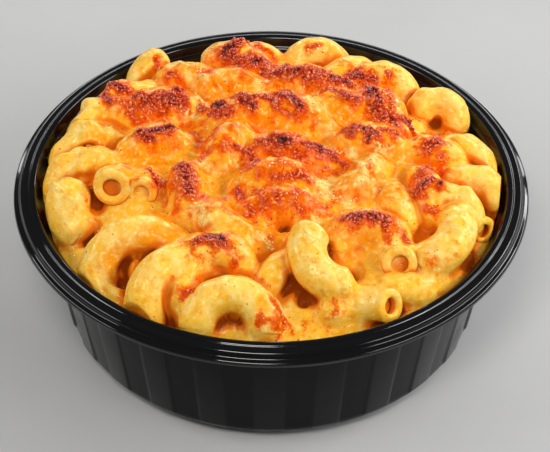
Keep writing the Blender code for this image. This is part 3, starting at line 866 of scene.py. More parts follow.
PALE = strokes([
    (1.4, 1.0, -22.9, 27.3, -20.2, 25.6), (1.4, 0.95, -26.3, 20.7, -23.3, 19.7),
    (1.0, 0.9, -22.1, 39.7, -20.1, 36.4), (0.9, 0.6, -26.4, 40.5, -24.5, 37.4),
    (1.7, 1.0, -22.0, -23.6, -20.2, -26.9, -18.3, -31.6), (1.1, 0.95, -22.1, -2.3, -19.6, -5.0),
    (0.9, 0.6, -18.5, -5.6, -16.1, -6.4), (1.7, 0.6, -4.3, 33.2, -1.8, 23.9),
    (1.3, 0.85, 9.0, 31.7, 11.9, 19.1, 13.1, 17.4), (1.1, 0.6, 15.8, 12.0, 18.7, 9.9),
    (1.1, 0.7, 18.3, 2.2, 20.9, 2.3, 23.6, 1.2), (1.0, 0.6, -0.4, -10.7, 3.9, -8.6, 8.2, -8.4),
    (1.7, 0.95, 30.6, 4.9, 32.4, 3.3), (1.7, 1.0, 13.4, -13.6, 17.5, -9.9),
    (1.7, 0.9, 15.7, -15.8, 18.9, -17.5, 22.0, -18.9),
    (1.4, 1.0, 24.9, -14.7, 29.0, -13.7, 30.2, -14.0), (1.0, 1.0, 38.0, -20.6, 39.1, -21.2),
    (1.1, 0.7, 35.9, -30.0, 35.2, -34.7), (1.4, 0.7, -49.0, 17.1, -47.6, 13.8),
    (1.1, 0.5, -51.8, 15.5, -50.5, 13.2), (1.1, 0.85, -2.5, -34.2, -0.2, -35.8),
    (1.1, 1.0, 12.8, -25.4, 13.6, -38.4), (1.7, 0.7, 9.5, -39.1, 11.4, -42.8),
    (1.7, 0.6, 10.8, -47.6, 12.5, -49.5, 14.2, -51.2), (1.1, 0.8, 52.1, -32.3, 53.8, -33.5),
    (1.4, 0.8, 44.6, -38.8, 47.4, -40.4), (1.4, 0.45, 50.1, -18.2, 53.0, -17.9, 55.9, -17.4),
    (1.1, 0.5, 56.2, -4.4, 57.0, -6.7, 57.2, -14.2), (1.1, 0.5, 63.5, 8.1, 63.8, 8.1),
    (1.7, 0.9, -28.3, 43.2, -28.0, 43.2), (1.4, 0.8, 39.1, 40.0, 41.6, 37.1),
    (1.7, 0.6, 8.6, 53.1, 11.7, 53.4, 14.8, 54.0), (0.9, 0.4, -18.4, -44.1, -15.8, -43.6),
    (0.9, 0.9, 23.0, 2.3, 24.7, 0.3, 27.3, -13.4, 28.7, -14.0),
    (0.9, 0.8, 31.2, 4.8, 29.9, -0.2, 28.7, -9.8), (1.1, 0.8, 1.5, -56.2, 3.2, -56.3),
    (1.1, 0.6, 19.2, -54.3, 21.4, -52.8), (1.7, 0.6, -60.6, -20.1, -59.7, -21.9, -58.8, -23.3),
    (1.4, 0.5, -49.8, -23.2, -44.8, -32.5), (1.4, 0.6, 55.6, -33.6, 58.8, -28.2),
    (1.4, 0.5, -33.4, -49.1, -30.7, -47.6), (1.7, 0.5, -12.5, -55.5, -8.4, -56.2),
    (1.1, 0.6, 25.3, -55.3, 27.8, -55.2, 30.2, -56.0)])

LUMPS = strokes([
    (9.0, 1.4, -60.0, 30.0, -57.0, 16.0, -56.0, 3.0), (6.0, 1.0, -46.0, 33.0, -50.0, 22.0),
    (2.6, 0.8, -31.0, 51.0, -27.0, 52.5), (5.0, 0.5, -50.0, -8.0, -56.0, -14.0),
    (8.0, 0.8, 44.0, 34.0, 55.0, 12.0, 58.0, -8.0, 56.0, -26.0), (6.0, 0.6, 44.0, 8.0, 40.0, -2.0)])
STRANDS = strokes([
    (0.8, 0.6, 22.8, -2.1, 26.1, -10.0, 28.7, -18.4), (0.8, 0.5, 31.1, 3.2, 29.8, -2.5, 28.8, -9.4)])
DIPS = strokes([(1.5, 1.0, 29.4, -12.6, 29.8, -14.0)])
print(len(MOLTEN), "pools,", len(PALE), "pale strokes,", len(LUMPS), "lumpy places,",
      len(STRANDS), "strings and", len(DIPS), "crease_shade")

# %% [markdown]
# ### From strokes to maps
#
# The browned map has a dark core and a wide pale halo round each stroke, more on what stands up
# and less in the dips. The swelling is how far the surface stands out in the end: it is grainy
# where it is browned, smooth where it is molten and lumpy in the lumps.

# %% Colour maps
def grain(size, seed):
    """Even speckle of about -1 to 1 whose grains are size millimetres across: white noise, blurred
    by that size and freed of anything larger, scaled to unit spread."""
    white = np.random.default_rng(seed).standard_normal(MAP_X.shape)
    field = soften(white, size / 2.6) - soften(white, size)
    return field / field.std()


cores = [(line, 1.35 * width, strength) for line, width, strength in BROWNED]
halos = [(line, 2.2 * width + 1.0, 0.42 * strength) for line, width, strength in BROWNED]
core = patches(cores, 0.35, 60)
halo = patches(halos, 0.25, 60)
halo = np.maximum(halo, blanket * (0.12 + 0.10 * ripple(MAP_X, MAP_Y, 7.0, 61)))
molten = patches(MOLTEN, 0.25, 160)
pale = patches(PALE, 0.35, 220)
relief = cheese_top - soften(cheese_top, 4.0)
fine, coarse = grain(1.0, 6), grain(2.4, 7)
# Painted highlight: a cream tint along crests that stand up, weaker under the blanket.
painted_crest_highlight = smooth_step(relief, 0.2, 1.6) * (0.42 - 0.30 * blanket)
painted_crest_highlight *= 0.7 + 0.5 * ripple(MAP_X, MAP_Y, 6.0, 62)
lit = 0.92 + 0.10 * np.clip(relief, -1.5, 1.5)
browned = np.clip(np.maximum(core, halo) * lit + 0.06 * grain(2.4, 5) * (halo > 0.05), 0, 1)
crust = smooth_step(browned, 0.25, 0.65)
soft_grain = (0.02 + 0.13 * blanket) * coarse + (0.01 + 0.05 * blanket) * fine
swelling = crust * (0.25 + 0.22 * fine + 0.24 * coarse) + pale * (0.25 + 0.20 * coarse)
swelling += (1 - crust) * (1 - 0.8 * molten) * soft_grain + 0.12 * ripple(MAP_X, MAP_Y, 5.5, 31)
swelling += patches(LUMPS, 0.3, 300) * (0.30 + 0.75 * grain(5.0, 8))
swelling += 1.3 * patches(STRANDS, 0.15, 320) - 1.5 * patches(DIPS, 0.1, 330)
print("browned over", round(float((browned > 0.3)[MAP_R < 66].mean() * 100)), "% of the top")

# %% [markdown]
# ### A coat that wraps round the tubes
#
# A height map can't curl in under a tube, and real sauce does. So the map is only where the sheet
# starts. A distance field says how far a point is from the nearest skin, and blending the
# distances softly, as the negative logarithm of a sum of exponentials, gives the fillets that sauce
# makes between two tubes. The sheet's points then slide down that field until all of them are
# one coat's thickness from the tubes.

# %% Distance to one tube
def read_map(field, x, y):
    """Value of a map between its cells: the four nearest, weighted by nearness."""
    u, v = (x + HALF) / CELL, (y + HALF) / CELL
    i = np.clip(u.astype(int), 0, field.shape[0] - 2)
    j = np.clip(v.astype(int), 0, field.shape[1] - 2)
    s, t = np.clip(u - i, 0, 1), np.clip(v - j, 0, 1)
    return ((field[i, j] * (1 - s) + field[i + 1, j] * s) * (1 - t)
            + (field[i, j + 1] * (1 - s) + field[i + 1, j + 1] * s) * t)


END_DEPTH, END_EDGE = 3.0, 0.8                # how deep inside an open end the coat stops, mm
END_ROUND = 0.55                              # a closed end's rounding over the tube radius


def skin_distance(points, elbow, is_open):
    """Distance to a bent tube and the direction away from it. The nearest place of the middle line
    is at the point's own angle about the bend's middle, kept between the tube's two ends. The coat
    rounds over a closed end. Inside an open end it is flat, with the edge of a rounded box: there
    the distance is the length of (past the skin, past the end), each counted only if positive."""
    start, along, inwards, square = elbow_axes(elbow)
    sweep, anchor, bend, tube = elbow[6:10]
    first, last = np.radians((-sweep * anchor, sweep * (1 - anchor)))
    first += (END_DEPTH if is_open else END_ROUND * tube) / bend
    last = max(last - END_ROUND * tube / bend, first + 0.1)
    middle, half = (first + last) / 2, (last - first) / 2
    away = points - (start + bend * inwards)
    own = (np.arctan2(away @ along, -(away @ inwards)) - middle + pi) % (2 * pi) - pi
    angle = np.clip(own, -half, half) + middle
    off = away - bend * (np.sin(angle)[:, None] * along - np.cos(angle)[:, None] * inwards)
    length = np.linalg.norm(off, axis=1)
    distance, direction = length - tube, off / np.maximum(length, 1e-6)[:, None]
    if is_open:
        tangent = np.cos(first) * along + np.sin(first) * inwards
        past = -(off @ tangent)
        radial = off + past[:, None] * tangent
        width = np.linalg.norm(radial, axis=1)
        side, end = width - tube + END_EDGE, past + END_EDGE
        side_out, end_out = np.maximum(side, 0), np.maximum(end, 0)
        beyond = np.hypot(side_out, end_out)
        boxed = beyond + np.minimum(np.maximum(side, end), 0) - END_EDGE
        slope = (side_out / np.maximum(width, 1e-6))[:, None] * radial - end_out[:, None] * tangent
        slope = np.where(beyond[:, None] > 1e-6, slope / np.maximum(beyond, 1e-6)[:, None], -tangent)
        use = (own < -half + 0.5 * tube / bend) & (own > -half - 2.5) & (past > -1.5)
        distance = np.where(use, boxed, distance)
        direction = np.where(use[:, None], slope, direction)
    return distance, direction


above = np.array([[0.0, 0.0, RIM_HEIGHT + 40.0]])
to_front = skin_distance(above, ELBOWS[0], False)[0][0]
print("from 40 mm over the rim to the front elbow:", round(float(to_front), 1), "mm")

# %% [markdown]
# ### Distance to the whole heap
#
# Only the tubes near a point can matter to it, so the others are skipped. The sauce counts as one
# more surface, its height over the map divided by the steepness of the map.

# %% Soft distance to the heap
SLOPE_X, SLOPE_Y = np.gradient(sauce_floor, CELL)


def heap_distance(points, softness):
    """Soft distance to tubes and sauce, F = -k log(sum of exp(-d / k)), and its direction, the
    average of each surface's own direction weighted by the same exponentials."""
    total = np.full(len(points), 1e-30)
    slope = np.zeros(points.shape)
    for number, elbow in enumerate(ELBOWS):
        start, _along, inwards, _square = elbow_axes(elbow)
        reach = elbow[8] + elbow[9] + 8.0
        near = np.flatnonzero(((points - start - elbow[8] * inwards) ** 2).sum(axis=1) < reach ** 2)
        if len(near):
            distance, direction = skin_distance(points[near], elbow, number in OPEN_ENDS)
            weight = np.exp(np.clip(-distance / softness[near], -60, 60))
            total[near] += weight
            slope[near] += weight[:, None] * direction
    x, y, z = points.T
    across, up = read_map(SLOPE_X, x, y), read_map(SLOPE_Y, x, y)
    steep = np.sqrt(1 + across ** 2 + up ** 2)
    weight = np.exp(np.clip(-(z - read_map(sauce_floor, x, y)) / steep / softness, -60, 60))
    total += weight
    slope += (weight / steep)[:, None] * np.stack([-across, -up, np.ones(len(x))], axis=1)
    return -softness * np.log(total), slope / total[:, None]


print("and to the whole heap:", round(float(heap_distance(above, np.array([0.8]))[0][0]), 1), "mm")

# %% [markdown]
# ### The cheese sheet
#
# The sheet is a square grid that is squeezed into a disc: each square ring of the grid becomes a
# circle, so the cells stay nearly even and there is no pole in the middle. Each round of the
# wrapping first evens out the spacing of the points along the surface and then brings them back to
# the coat's thickness. Below its edge the sheet runs down the inside of the bowl and closes over
# the base, because the sauce fills the bowl and the piece has to be a closed solid.

# %% The sheet's points
SHEET_CELLS, ROUNDS = 306, 26
WALL_GAP = 0.3                                # between the food and the wall, mm


def squared_disc(cells):
    """Unit disc as a square grid: the ring r = max(|u|, |v|) becomes a circle of that radius, and
    the place along its side becomes the angle."""
    u, v = np.meshgrid(np.linspace(-1, 1, cells + 1), np.linspace(-1, 1, cells + 1), indexing="ij")
    wide = np.abs(u) >= np.abs(v)
    r = np.where(wide, u, v)
    other = np.where(wide, v, u)
    share = other / np.where(np.abs(r) < 1e-9, 1.0, r) * pi / 4
    along, across = r * np.cos(share), r * np.sin(share)
    return np.where(wide, along, across), np.where(wide, across, along)


def evened(grid, away):
    """Moves each inner point most of the way to the middle of its four neighbours, but only along
    the surface, so that the spacing evens out and the shape stays."""
    pull = np.zeros(grid.shape)
    ring = grid[2:, 1:-1] + grid[:-2, 1:-1] + grid[1:-1, 2:] + grid[1:-1, :-2]
    pull[1:-1, 1:-1] = ring / 4 - grid[1:-1, 1:-1]
    pull -= (pull * away).sum(axis=-1, keepdims=True) * away
    return grid + 0.7 * pull


def wrapped_sheet():
    """Grid of points one coat's thickness from the heap. The coat and the softness of its fillets
    grow under the blanket and where it is browned."""
    x, y = (side * (FOOD_LEVEL_RADIUS - 0.35) for side in squared_disc(SHEET_CELLS))
    grid = keep_inside(np.stack([x, y, read_map(cheese_top, x, y)], axis=-1), WALL_GAP)
    edge = np.ones(x.shape, bool)
    edge[1:-1, 1:-1] = False
    fixed = grid[edge].copy()
    for turn in range(ROUNDS):
        flat = grid.reshape(-1, 3)
        cover, toasted, hole = (read_map(m, flat[:, 0], flat[:, 1]) for m in (blanket, halo, holes))
        soft = 0.55 + 0.50 * cover + 1.3 * toasted + 0.15 * np.maximum(-hole, 0)
        gap, slope = heap_distance(flat, soft)
        slope /= np.maximum(np.linalg.norm(slope, axis=1), 0.15)[:, None]
        coat = 0.30 + 0.40 * cover + 0.5 * toasted
        flat = flat - (np.clip(gap - coat, -0.8, 0.8) * (0.9 if turn else 0.5))[:, None] * slope
        grid = flat.reshape(grid.shape)
        if turn < ROUNDS - 2:
            grid = evened(grid, slope.reshape(grid.shape))
        grid = keep_inside(grid, WALL_GAP)
        grid[edge] = fixed
    return grid


sheet = wrapped_sheet()
print("coat wrapped round the heap, top at", round(float(sheet[..., 2].max()), 1), "mm")

# %% [markdown]
# ### Grain, and a closed underside
#
# The wrapped sheet is smooth. Pushing its points out by the swelling gives the crust, curds and
# lumps as real shape. Steep places don't get any, because it would fold them.

# %% Swelling and closing the sheet
def grid_normals(grid):
    """Direction square to both of the grid's own directions at each point."""
    normal = np.cross(np.gradient(grid, axis=0), np.gradient(grid, axis=1))
    normal /= np.maximum(np.linalg.norm(normal, axis=-1), 1e-9)[..., None]
    return normal * np.where(normal[..., 2:].mean() < 0, -1, 1)


def closed_sheet(grid):
    """The grid, rings of points down the bowl's inside from its edge, and a middle point under."""
    n = SHEET_CELLS + 1
    number = np.arange(n * n).reshape(n, n)
    rim = np.concatenate([number[:-1, 0], number[-1, :-1], number[:0:-1, -1], number[0, :0:-1]])
    points = grid.reshape(-1, 3)
    angle, count = np.arctan2(points[rim, 1], points[rim, 0]), len(rim)
    blocks, faces, upper = [points], [grid_faces(n, n)], rim
    for k, level in enumerate((RIM_HEIGHT - 12.0, 12.0, 4.6, 2.4)):
        radius = min(float(wall_radius(level)) - WALL_GAP, 56.0 if level < 3 else 1e3)
        ring = (radius * np.cos(angle), radius * np.sin(angle), np.full(count, level))
        blocks.append(np.stack(ring, axis=1))
        lower = n * n + k * count + np.arange(count)
        faces.append(np.stack([upper, lower, np.roll(lower, -1), np.roll(upper, -1)], axis=1))
        upper = lower
    blocks.append(np.array([[0.0, 0.0, 2.4]]))
    faces.append(np.stack([upper, np.full(count, n * n + 4 * count), np.roll(upper, -1)], axis=1))
    return np.vstack(blocks), faces


sheet_away = grid_normals(sheet)
open_up = smooth_step(sheet_away[..., 2], 0.0, 0.5)
sheet += sheet_away * (read_map(swelling, sheet[..., 0], sheet[..., 1]) * open_up)[..., None]
sheet = keep_inside(sheet, WALL_GAP)
print("with its grain, top at", round(float(sheet[..., 2].max()), 1), "mm")

# %% [markdown]
# ### The food's finish
#
# Elbows and sheet share one finish, because the sauce coats both. First comes the body colour: yellow
# where a tube is bare, with a painted cream highlight along its crest, deeper where the cheese is thick,
# dappled with milky spots that also serve as painted glints, and orange in the pools. Painted shade turns
# the creases, the undersides of tubes and the holes deeper orange and brown. Each line below lays one of
# these over the ones before it.

# %% The body colour of sauce and cheese
def body_colour(tree, small_noise):
    """From pasta to cheese to molten by the stored measures, then pale curds with a painted crest
    highlight, milky spots with painted glints, dapple, and painted shade that darkens the creases."""
    crease_shade, pool, curd_and_crest_highlight = measure(tree, "hollow"), measure(tree, "molten"), measure(tree, "pale")
    wide_noise, mid_noise = noise(tree, 11.0, 2.0), noise(tree, 3.6, 3.0)
    broad = maths(tree, "ADD", mid_noise, wide_noise)
    uneven = maths(tree, "MULTIPLY_ADD", broad, 1.3, -1.3)
    thick = maths(tree, "MULTIPLY_ADD", measure(tree, "blanket"), 0.8, uneven, clamp=True)
    mottle = spread(tree, maths(tree, "ADD", mid_noise, small_noise), 0.75, 1.25)
    cheese = blend(tree, mottle, shade(234, 120, 3), shade(250, 168, 16))
    pasta = blend(tree, spread(tree, broad, 0.78, 1.18), shade(252, 184, 44), shade(255, 203, 76))
    # The pale measure carries real curds and the painted crest highlight alike.
    milky_curd_and_painted_highlight = maths(tree, "MULTIPLY", curd_and_crest_highlight, spread(tree, small_noise, 0.35, 0.6, 0.55, 1.0))
    # Small pale spots: partly milky cheese, partly painted glints.
    milky_spots_and_painted_glints = spread(tree, noise(tree, 1.2, 3.0, 0.6), 0.57, 0.70, 0.0, 0.45)
    dapple = noise(tree, 2.4, 2.0, 0.5)
    body = blend(tree, thick, pasta, cheese)
    for share, colour in (
            (maths(tree, "MULTIPLY", pool, 0.9), shade(248, 150, 3)),
            (milky_curd_and_painted_highlight, shade(255, 226, 138)),
            (milky_spots_and_painted_glints, shade(255, 234, 164)),
            (spread(tree, dapple, 0.56, 0.68, 0.0, 0.40), shade(255, 226, 140)),
            (spread(tree, dapple, 0.44, 0.32, 0.0, 0.45), shade(240, 140, 12)),
            # The two steps by the hollow measure are painted shade: deeper orange in creases, brown down
            # holes and under tubes.
            (spread(tree, crease_shade, 0.02, 0.50, 0.0, 0.9), shade(226, 108, 8)),
            (spread(tree, crease_shade, 0.55, 1.0), shade(146, 60, 8)),
            (spread(tree, noise(tree, 0.5, 1.0), 0.66, 0.74, 0.0, 0.22), shade(196, 92, 16))):
        body = blend(tree, share, body, colour)
    return body


print("bare pasta in linear light:", [round(v, 3) for v in shade(255, 203, 76)[:3]])

# %% [markdown]
# ### Browning, gloss and glow
#
# Browning is a ramp from orange through red to nearly black, and its place on the ramp is the
# stored measure, broken up by grains and clots. Light goes a little way into cheese and pasta,
# which subsurface scattering shows as a warm glow at the edges. A wet film makes the small bright
# highlights.

# %% Baked cheese finish
def baked_cheese(name, shine, wetness):
    """The body colour, the browned ramp over it, and the surface's gloss, glow and relief."""
    material, tree, shader = new_material(name)
    brown, crease_shade = measure(tree, "browned"), measure(tree, "hollow")
    small_noise, fine_noise = noise(tree, 1.6, 3.0, 0.6), noise(tree, 0.8, 3.0, 0.65)
    body = body_colour(tree, small_noise)
    grains = maths(tree, "SUBTRACT", fine_noise, 0.5)
    clots = maths(tree, "SUBTRACT", noise(tree, 2.2, 2.0, 0.5), 0.5)
    grains = maths(tree, "MULTIPLY", grains, spread(tree, brown, 0.05, 0.5, 0.25, 1.0))
    toast = maths(tree, "MULTIPLY_ADD", grains, 0.9, brown)
    toast = maths(tree, "MULTIPLY_ADD", clots, 0.40, toast)
    seared = ramp(tree, toast, [(0.0, shade(246, 148, 16)), (0.22, shade(242, 118, 8)),
                                (0.42, shade(220, 76, 9)), (0.62, shade(168, 38, 11)),
                                (0.82, shade(96, 22, 13)), (1.0, shade(38, 13, 12))])
    body = blend(tree, spread(tree, toast, 0.08, 0.30), body, seared)
    plug(tree, body, shader.inputs["Base Color"])
    shader.inputs["Subsurface Weight"].default_value = 0.22
    shader.inputs["Subsurface Radius"].default_value = (1.0, 0.32, 0.06)
    shader.inputs["Subsurface Scale"].default_value = 0.0014
    # Less specular where the painted shade of the hollows lies.
    plug(tree, spread(tree, crease_shade, 0.1, 0.8, shine, 0.06), shader.inputs["Specular IOR Level"])
    shader.inputs["Specular Tint"].default_value = (1.0, 0.82, 0.44, 1.0)
    gloss = spread(tree, small_noise, 0.3, 0.7, 0.12, 0.30)
    plug(tree, gloss, shader.inputs["Roughness"])
    shader.inputs["Coat Weight"].default_value = wetness
    shader.inputs["Coat Roughness"].default_value = 0.05
    grit = maths(tree, "MULTIPLY", fine_noise, spread(tree, brown, 0.1, 0.6, 0.14, 1.0))
    pores = bump(tree, grit, 0.28, 0.6)
    waves = bump(tree, noise(tree, 2.8, 2.0, 0.4), 0.7, 0.6, pores)
    plug(tree, waves, shader.inputs["Normal"])
    return material


cheese_finish = baked_cheese("baked_cheese_blanket", 0.20, 0.03)
pasta_finish = baked_cheese("sauced_macaroni", 0.27, 0.04)
print("finishes:", cheese_finish.name, "and", pasta_finish.name)

# %% [markdown]
# ### What each point knows
#
# The materials can't see the maps, so each point of a piece carries what the maps say there. How hollow a
# place is doesn't come from a map but from the distance field, so that the painted shade the finish lays
# on hollow places reaches the underside of a tube and the bottom of a crease too.

# %% Measures, and the sheet as a piece
REACH_OUT = 3.0                               # how far in front of a point room is looked for, mm


def food_measures(points, away):
    """The maps read at each point, faded where the surface faces down. The soft distance 3 mm in front of
    a point is 3 in the open and less in a crease; from it, hollow carries the painted shade of creases
    and holes, and pale carries the curds together with the painted crest highlight."""
    x, y, z = points.T
    faces_up = smooth_step(away[:, 2], -0.15, 0.45)
    room, _slope = heap_distance(points + REACH_OUT * away, np.full(len(points), 0.8))
    deep = np.clip((read_map(heap_shell, x, y) - z - 2.0) / 6.0, 0, 1)
    return {
        "browned": read_map(browned, x, y) * faces_up,
        # hollow: how closed in a point is and how far under the heap's shell; the finish paints shade
        # with it.
        "hollow": np.clip(np.clip(1 - room / REACH_OUT, 0, 1) * 0.9 + deep, 0, 1),
        "molten": read_map(molten, x, y),
        # pale: real curds, and the painted highlight along the crests.
        "pale": read_map(np.maximum(pale, painted_crest_highlight), x, y) * faces_up,
        "blanket": read_map(blanket, x, y),
    }


heap_shell = soften(rolled_ball(heap_top, 6.0), 1.0)
sheet_points, sheet_faces = closed_sheet(sheet)
below = len(sheet_points) - sheet[..., 0].size
facing_down = np.tile((0.0, 0.0, -1.0), (below, 1))
sheet_normals = np.vstack([grid_normals(sheet).reshape(-1, 3), facing_down])
cheese_sauce = make_piece("cheese_sauce", sheet_points, sheet_faces, cheese_finish,
                          food_measures(sheet_points, sheet_normals))
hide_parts("macaroni_heap")

# %% [markdown]
# ### Building the elbows that show
#
# All the elbows lie under the coat as real tubes, and some come out of it with an open end, where
# the wall's thickness and the bore show. The placed ones get the finer grid.

# %% The elbows as one mesh
def ring_normals(grid):
    """As for the sheet, on a grid that closes both ways."""
    down = np.roll(grid, -1, axis=0) - np.roll(grid, 1, axis=0)
    beside = np.roll(grid, -1, axis=1) - np.roll(grid, 1, axis=1)
    normal = np.cross(down, beside)
    normal /= np.maximum(np.linalg.norm(normal, axis=-1), 1e-9)[..., None]
    some_circle = len(grid) // 4
    outside = grid[some_circle] - grid[some_circle].mean(axis=0)
    return normal * np.sign((normal[some_circle] * outside).sum())


def elbow_heap():
    """Points, outward directions and faces of all the elbows. Those with an open end in sight are
    as thick as the coat that stops there."""
    points, away, faces, start = [], [], [], 0
    for number, elbow in enumerate(ELBOWS):
        along, around = (40, 30) if number < len(PLACED) else (26, 24)
        thick = 0.25 + 0.40 * read_map(blanket, *elbow[:2]) if number in OPEN_ENDS else 0.0
        grid = keep_inside(elbow_surface(elbow, along, around, number, thick), 0.45)
        faces.append(grid_faces(grid.shape[0], around, True, True, start))
        points.append(grid.reshape(-1, 3))
        away.append(ring_normals(grid).reshape(-1, 3))
        start += grid.shape[0] * around
    return np.vstack(points), np.vstack(away), faces


elbow_points, elbow_away, elbow_faces = elbow_heap()
elbow_macaroni = make_piece("elbow_macaroni", elbow_points, elbow_faces, pasta_finish,
                            food_measures(elbow_points, elbow_away))
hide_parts("macaroni_heap")

# %% [markdown]
# ### Crumbs, curds and flecks
#
# A browned crust isn't smooth: it is hundreds of fried cheese grains that stand up from it and
# catch the light. Pale curds that never melted through do the same, and flecks of spice lie over
# everything. Each grain is the same small ball of three rings and two poles, stretched, turned
# and dented by its own random numbers, and a whole kind is one mesh.

# %% One small grain
def small_ball():
    """Unit ball: two poles and three rings of six, with the faces between them."""
    lift = np.radians((45.0, 0.0, -45.0))[:, None]
    turn = np.linspace(0, 2 * pi, 6, endpoint=False)[None] + np.array([[0.0], [0.5], [0.0]])
    flat, high = np.cos(lift), np.sin(lift) + 0 * turn
    rings = np.stack([flat * np.cos(turn), flat * np.sin(turn), high], axis=-1)
    points = np.vstack([rings.reshape(-1, 3), (0, 0, 1), (0, 0, -1)])
    k, n = np.arange(6), (np.arange(6) + 1) % 6
    top, bottom = np.full(6, 18), np.full(6, 19)
    triangles = [(k, k + 6, n), (k + 6, k + 12, n + 6), (n, k + 6, n + 6), (n + 6, k + 12, n + 12),
                 (top, k, n), (bottom, n + 12, k + 12)]
    return points, np.vstack([np.stack(corners, axis=1) for corners in triangles])


print("a grain:", len(small_ball()[0]), "points,", len(small_ball()[1]), "triangles")

# %% [markdown]
# ### Scattering the grains
#
# Crumbs gather where the cheese is brown and curds where it is pale, so a place is drawn with a
# chance that follows the map. Each grain is sunk a little, as it has melted on.

# %% Grains on the sheet
def grains_on_sheet(count, weight, sizes, flat, sink, seed):
    """Chooses places on the sheet with chances in proportion to weight, and stands a ball on each:
    stretched to sizes, pressed by flat along the surface's normal, sunk by a share of its size."""
    rng = np.random.default_rng(seed)
    where = rng.choice(weight.size, count, p=weight.ravel() / weight.sum())
    place = sheet.reshape(-1, 3)[where] + rng.uniform(-0.25, 0.25, (count, 3))
    up = sheet_normals[:sheet[..., 0].size][where]
    side = np.cross(up, rng.standard_normal((count, 3)))
    side /= np.linalg.norm(side, axis=1)[:, None]
    ball, faces = small_ball()
    size = rng.uniform(sizes[0], sizes[1], (count, 1)) * rng.uniform(0.75, 1.3, (count, 3))
    size[:, 2] *= flat
    shape = ball[None] * size[:, None] * rng.uniform(0.75, 1.2, (count, len(ball), 1))
    axes = np.stack([side, np.cross(up, side), up], axis=1)
    points = place[:, None] + shape @ axes + (size[:, 2:] * (1 - 2 * sink) * up)[:, None]
    numbers = (faces[None] + (np.arange(count) * len(ball))[:, None, None]).reshape(-1, 3)
    tone = np.repeat(rng.random(count), len(ball))
    return points.reshape(-1, 3), [numbers], place, tone


def grain_finish(name, stops, by_place):
    """One colour per grain, from its own tone and, for crumbs, from how brown its place is."""
    material, tree, shader = new_material(name)
    value = measure(tree, "tone")
    if by_place:
        seared = maths(tree, "MULTIPLY_ADD", measure(tree, "browned"), 0.95, -0.30)
        value = maths(tree, "MULTIPLY_ADD", value, 0.30, seared)
    plug(tree, ramp(tree, value, stops), shader.inputs["Base Color"])
    plug(tree, spread(tree, noise(tree, 0.8), 0.3, 0.7, 0.08, 0.26), shader.inputs["Roughness"])
    shader.inputs["Subsurface Weight"].default_value = 0.2
    shader.inputs["Subsurface Radius"].default_value = (1.0, 0.35, 0.10)
    shader.inputs["Subsurface Scale"].default_value = 0.0008
    shader.inputs["Coat Weight"].default_value = 0.7
    shader.inputs["Coat Roughness"].default_value = 0.04
    plug(tree, bump(tree, noise(tree, 0.4, 2.0), 0.12), shader.inputs["Normal"])
    return material


def sprinkle(name, count, weight, sizes, flat, sink, seed, finish):
    """One kind of grain as one piece, each grain with its own tone and its place's browning."""
    points, faces, place, tone = grains_on_sheet(count, weight, sizes, flat, sink, seed)
    brown = np.repeat(read_map(browned, place[:, 0], place[:, 1]), len(points) // count)
    piece = make_piece(name, keep_inside(points, WALL_GAP), faces, finish,
                       {"tone": tone, "browned": brown})
    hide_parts("macaroni_heap")


print("room for grains on", round(float(open_up.mean() * 100)), "% of the sheet")

# %% [markdown]
# ### Three kinds of grain
#
# The crumbs are the largest and run from orange to nearly black with their place. The curds are
# flat and cream. The flecks of spice are the smallest, and lie all over.

# %% Crumbs, curds and flecks
def stops(*places):
    """Ramp stops from rows of a place and its colour as seen on screen."""
    return [(place, shade(*colour)) for place, *colour in places]


sheet_browned = read_map(browned, sheet[..., 0], sheet[..., 1]) * open_up
sheet_pale = read_map(pale, sheet[..., 0], sheet[..., 1]) * open_up
crumb_finish = grain_finish("fried_cheese_crumbs", stops(
    (0.0, 252, 156, 52), (0.25, 240, 112, 34), (0.5, 210, 72, 30), (0.75, 138, 34, 20),
    (1.0, 52, 16, 14)), True)
curd_finish = grain_finish("pale_curds", stops(
    (0.0, 254, 184, 70), (0.6, 255, 204, 100), (1.0, 255, 222, 140)), False)
fleck_finish = grain_finish("spice_flecks", stops(
    (0.0, 214, 110, 20), (0.6, 176, 62, 14), (1.0, 84, 40, 14)), False)
crumb_places = smooth_step(sheet_browned, 0.25, 0.75)
curd_places = smooth_step(sheet_pale, 0.25, 0.9)
fleck_places = open_up * (0.25 + smooth_step(sheet_browned, 0.02, 0.3))
sprinkle("crust_crumbs", 4200, crumb_places, (0.22, 0.58), 0.8, 0.45, 71, crumb_finish)
sprinkle("cheese_curds", 600, curd_places, (0.20, 0.50), 0.6, 0.66, 72, curd_finish)
sprinkle("spice_flecks", 900, fleck_places, (0.12, 0.26), 0.4, 0.3, 73, fleck_finish)

# %% [markdown]
# ## Camera
#
# The camera looks down on the bowl from about 40 degrees, from 684 mm away, with a long lens, so
# the far rim is hardly smaller than the near one.

# %% Camera
DISTANCE, TILT = 684.0, radians(39.88)
VIEW_WIDTH, REACH = 550.0, 2319.0             # the view's width, and how far off a view so wide lies
ASIDE, BELOW = -3.97, -48.63                  # from the view's middle to the rim's, in the same unit
ROLL = radians(0.47)
SENSOR = 36.0                                 # mm


def turned(first, second, angle):
    """Both of two square directions, turned by an angle from the first towards the second."""
    c, s = np.cos(angle), np.sin(angle)
    return c * first + s * second, c * second - s * first


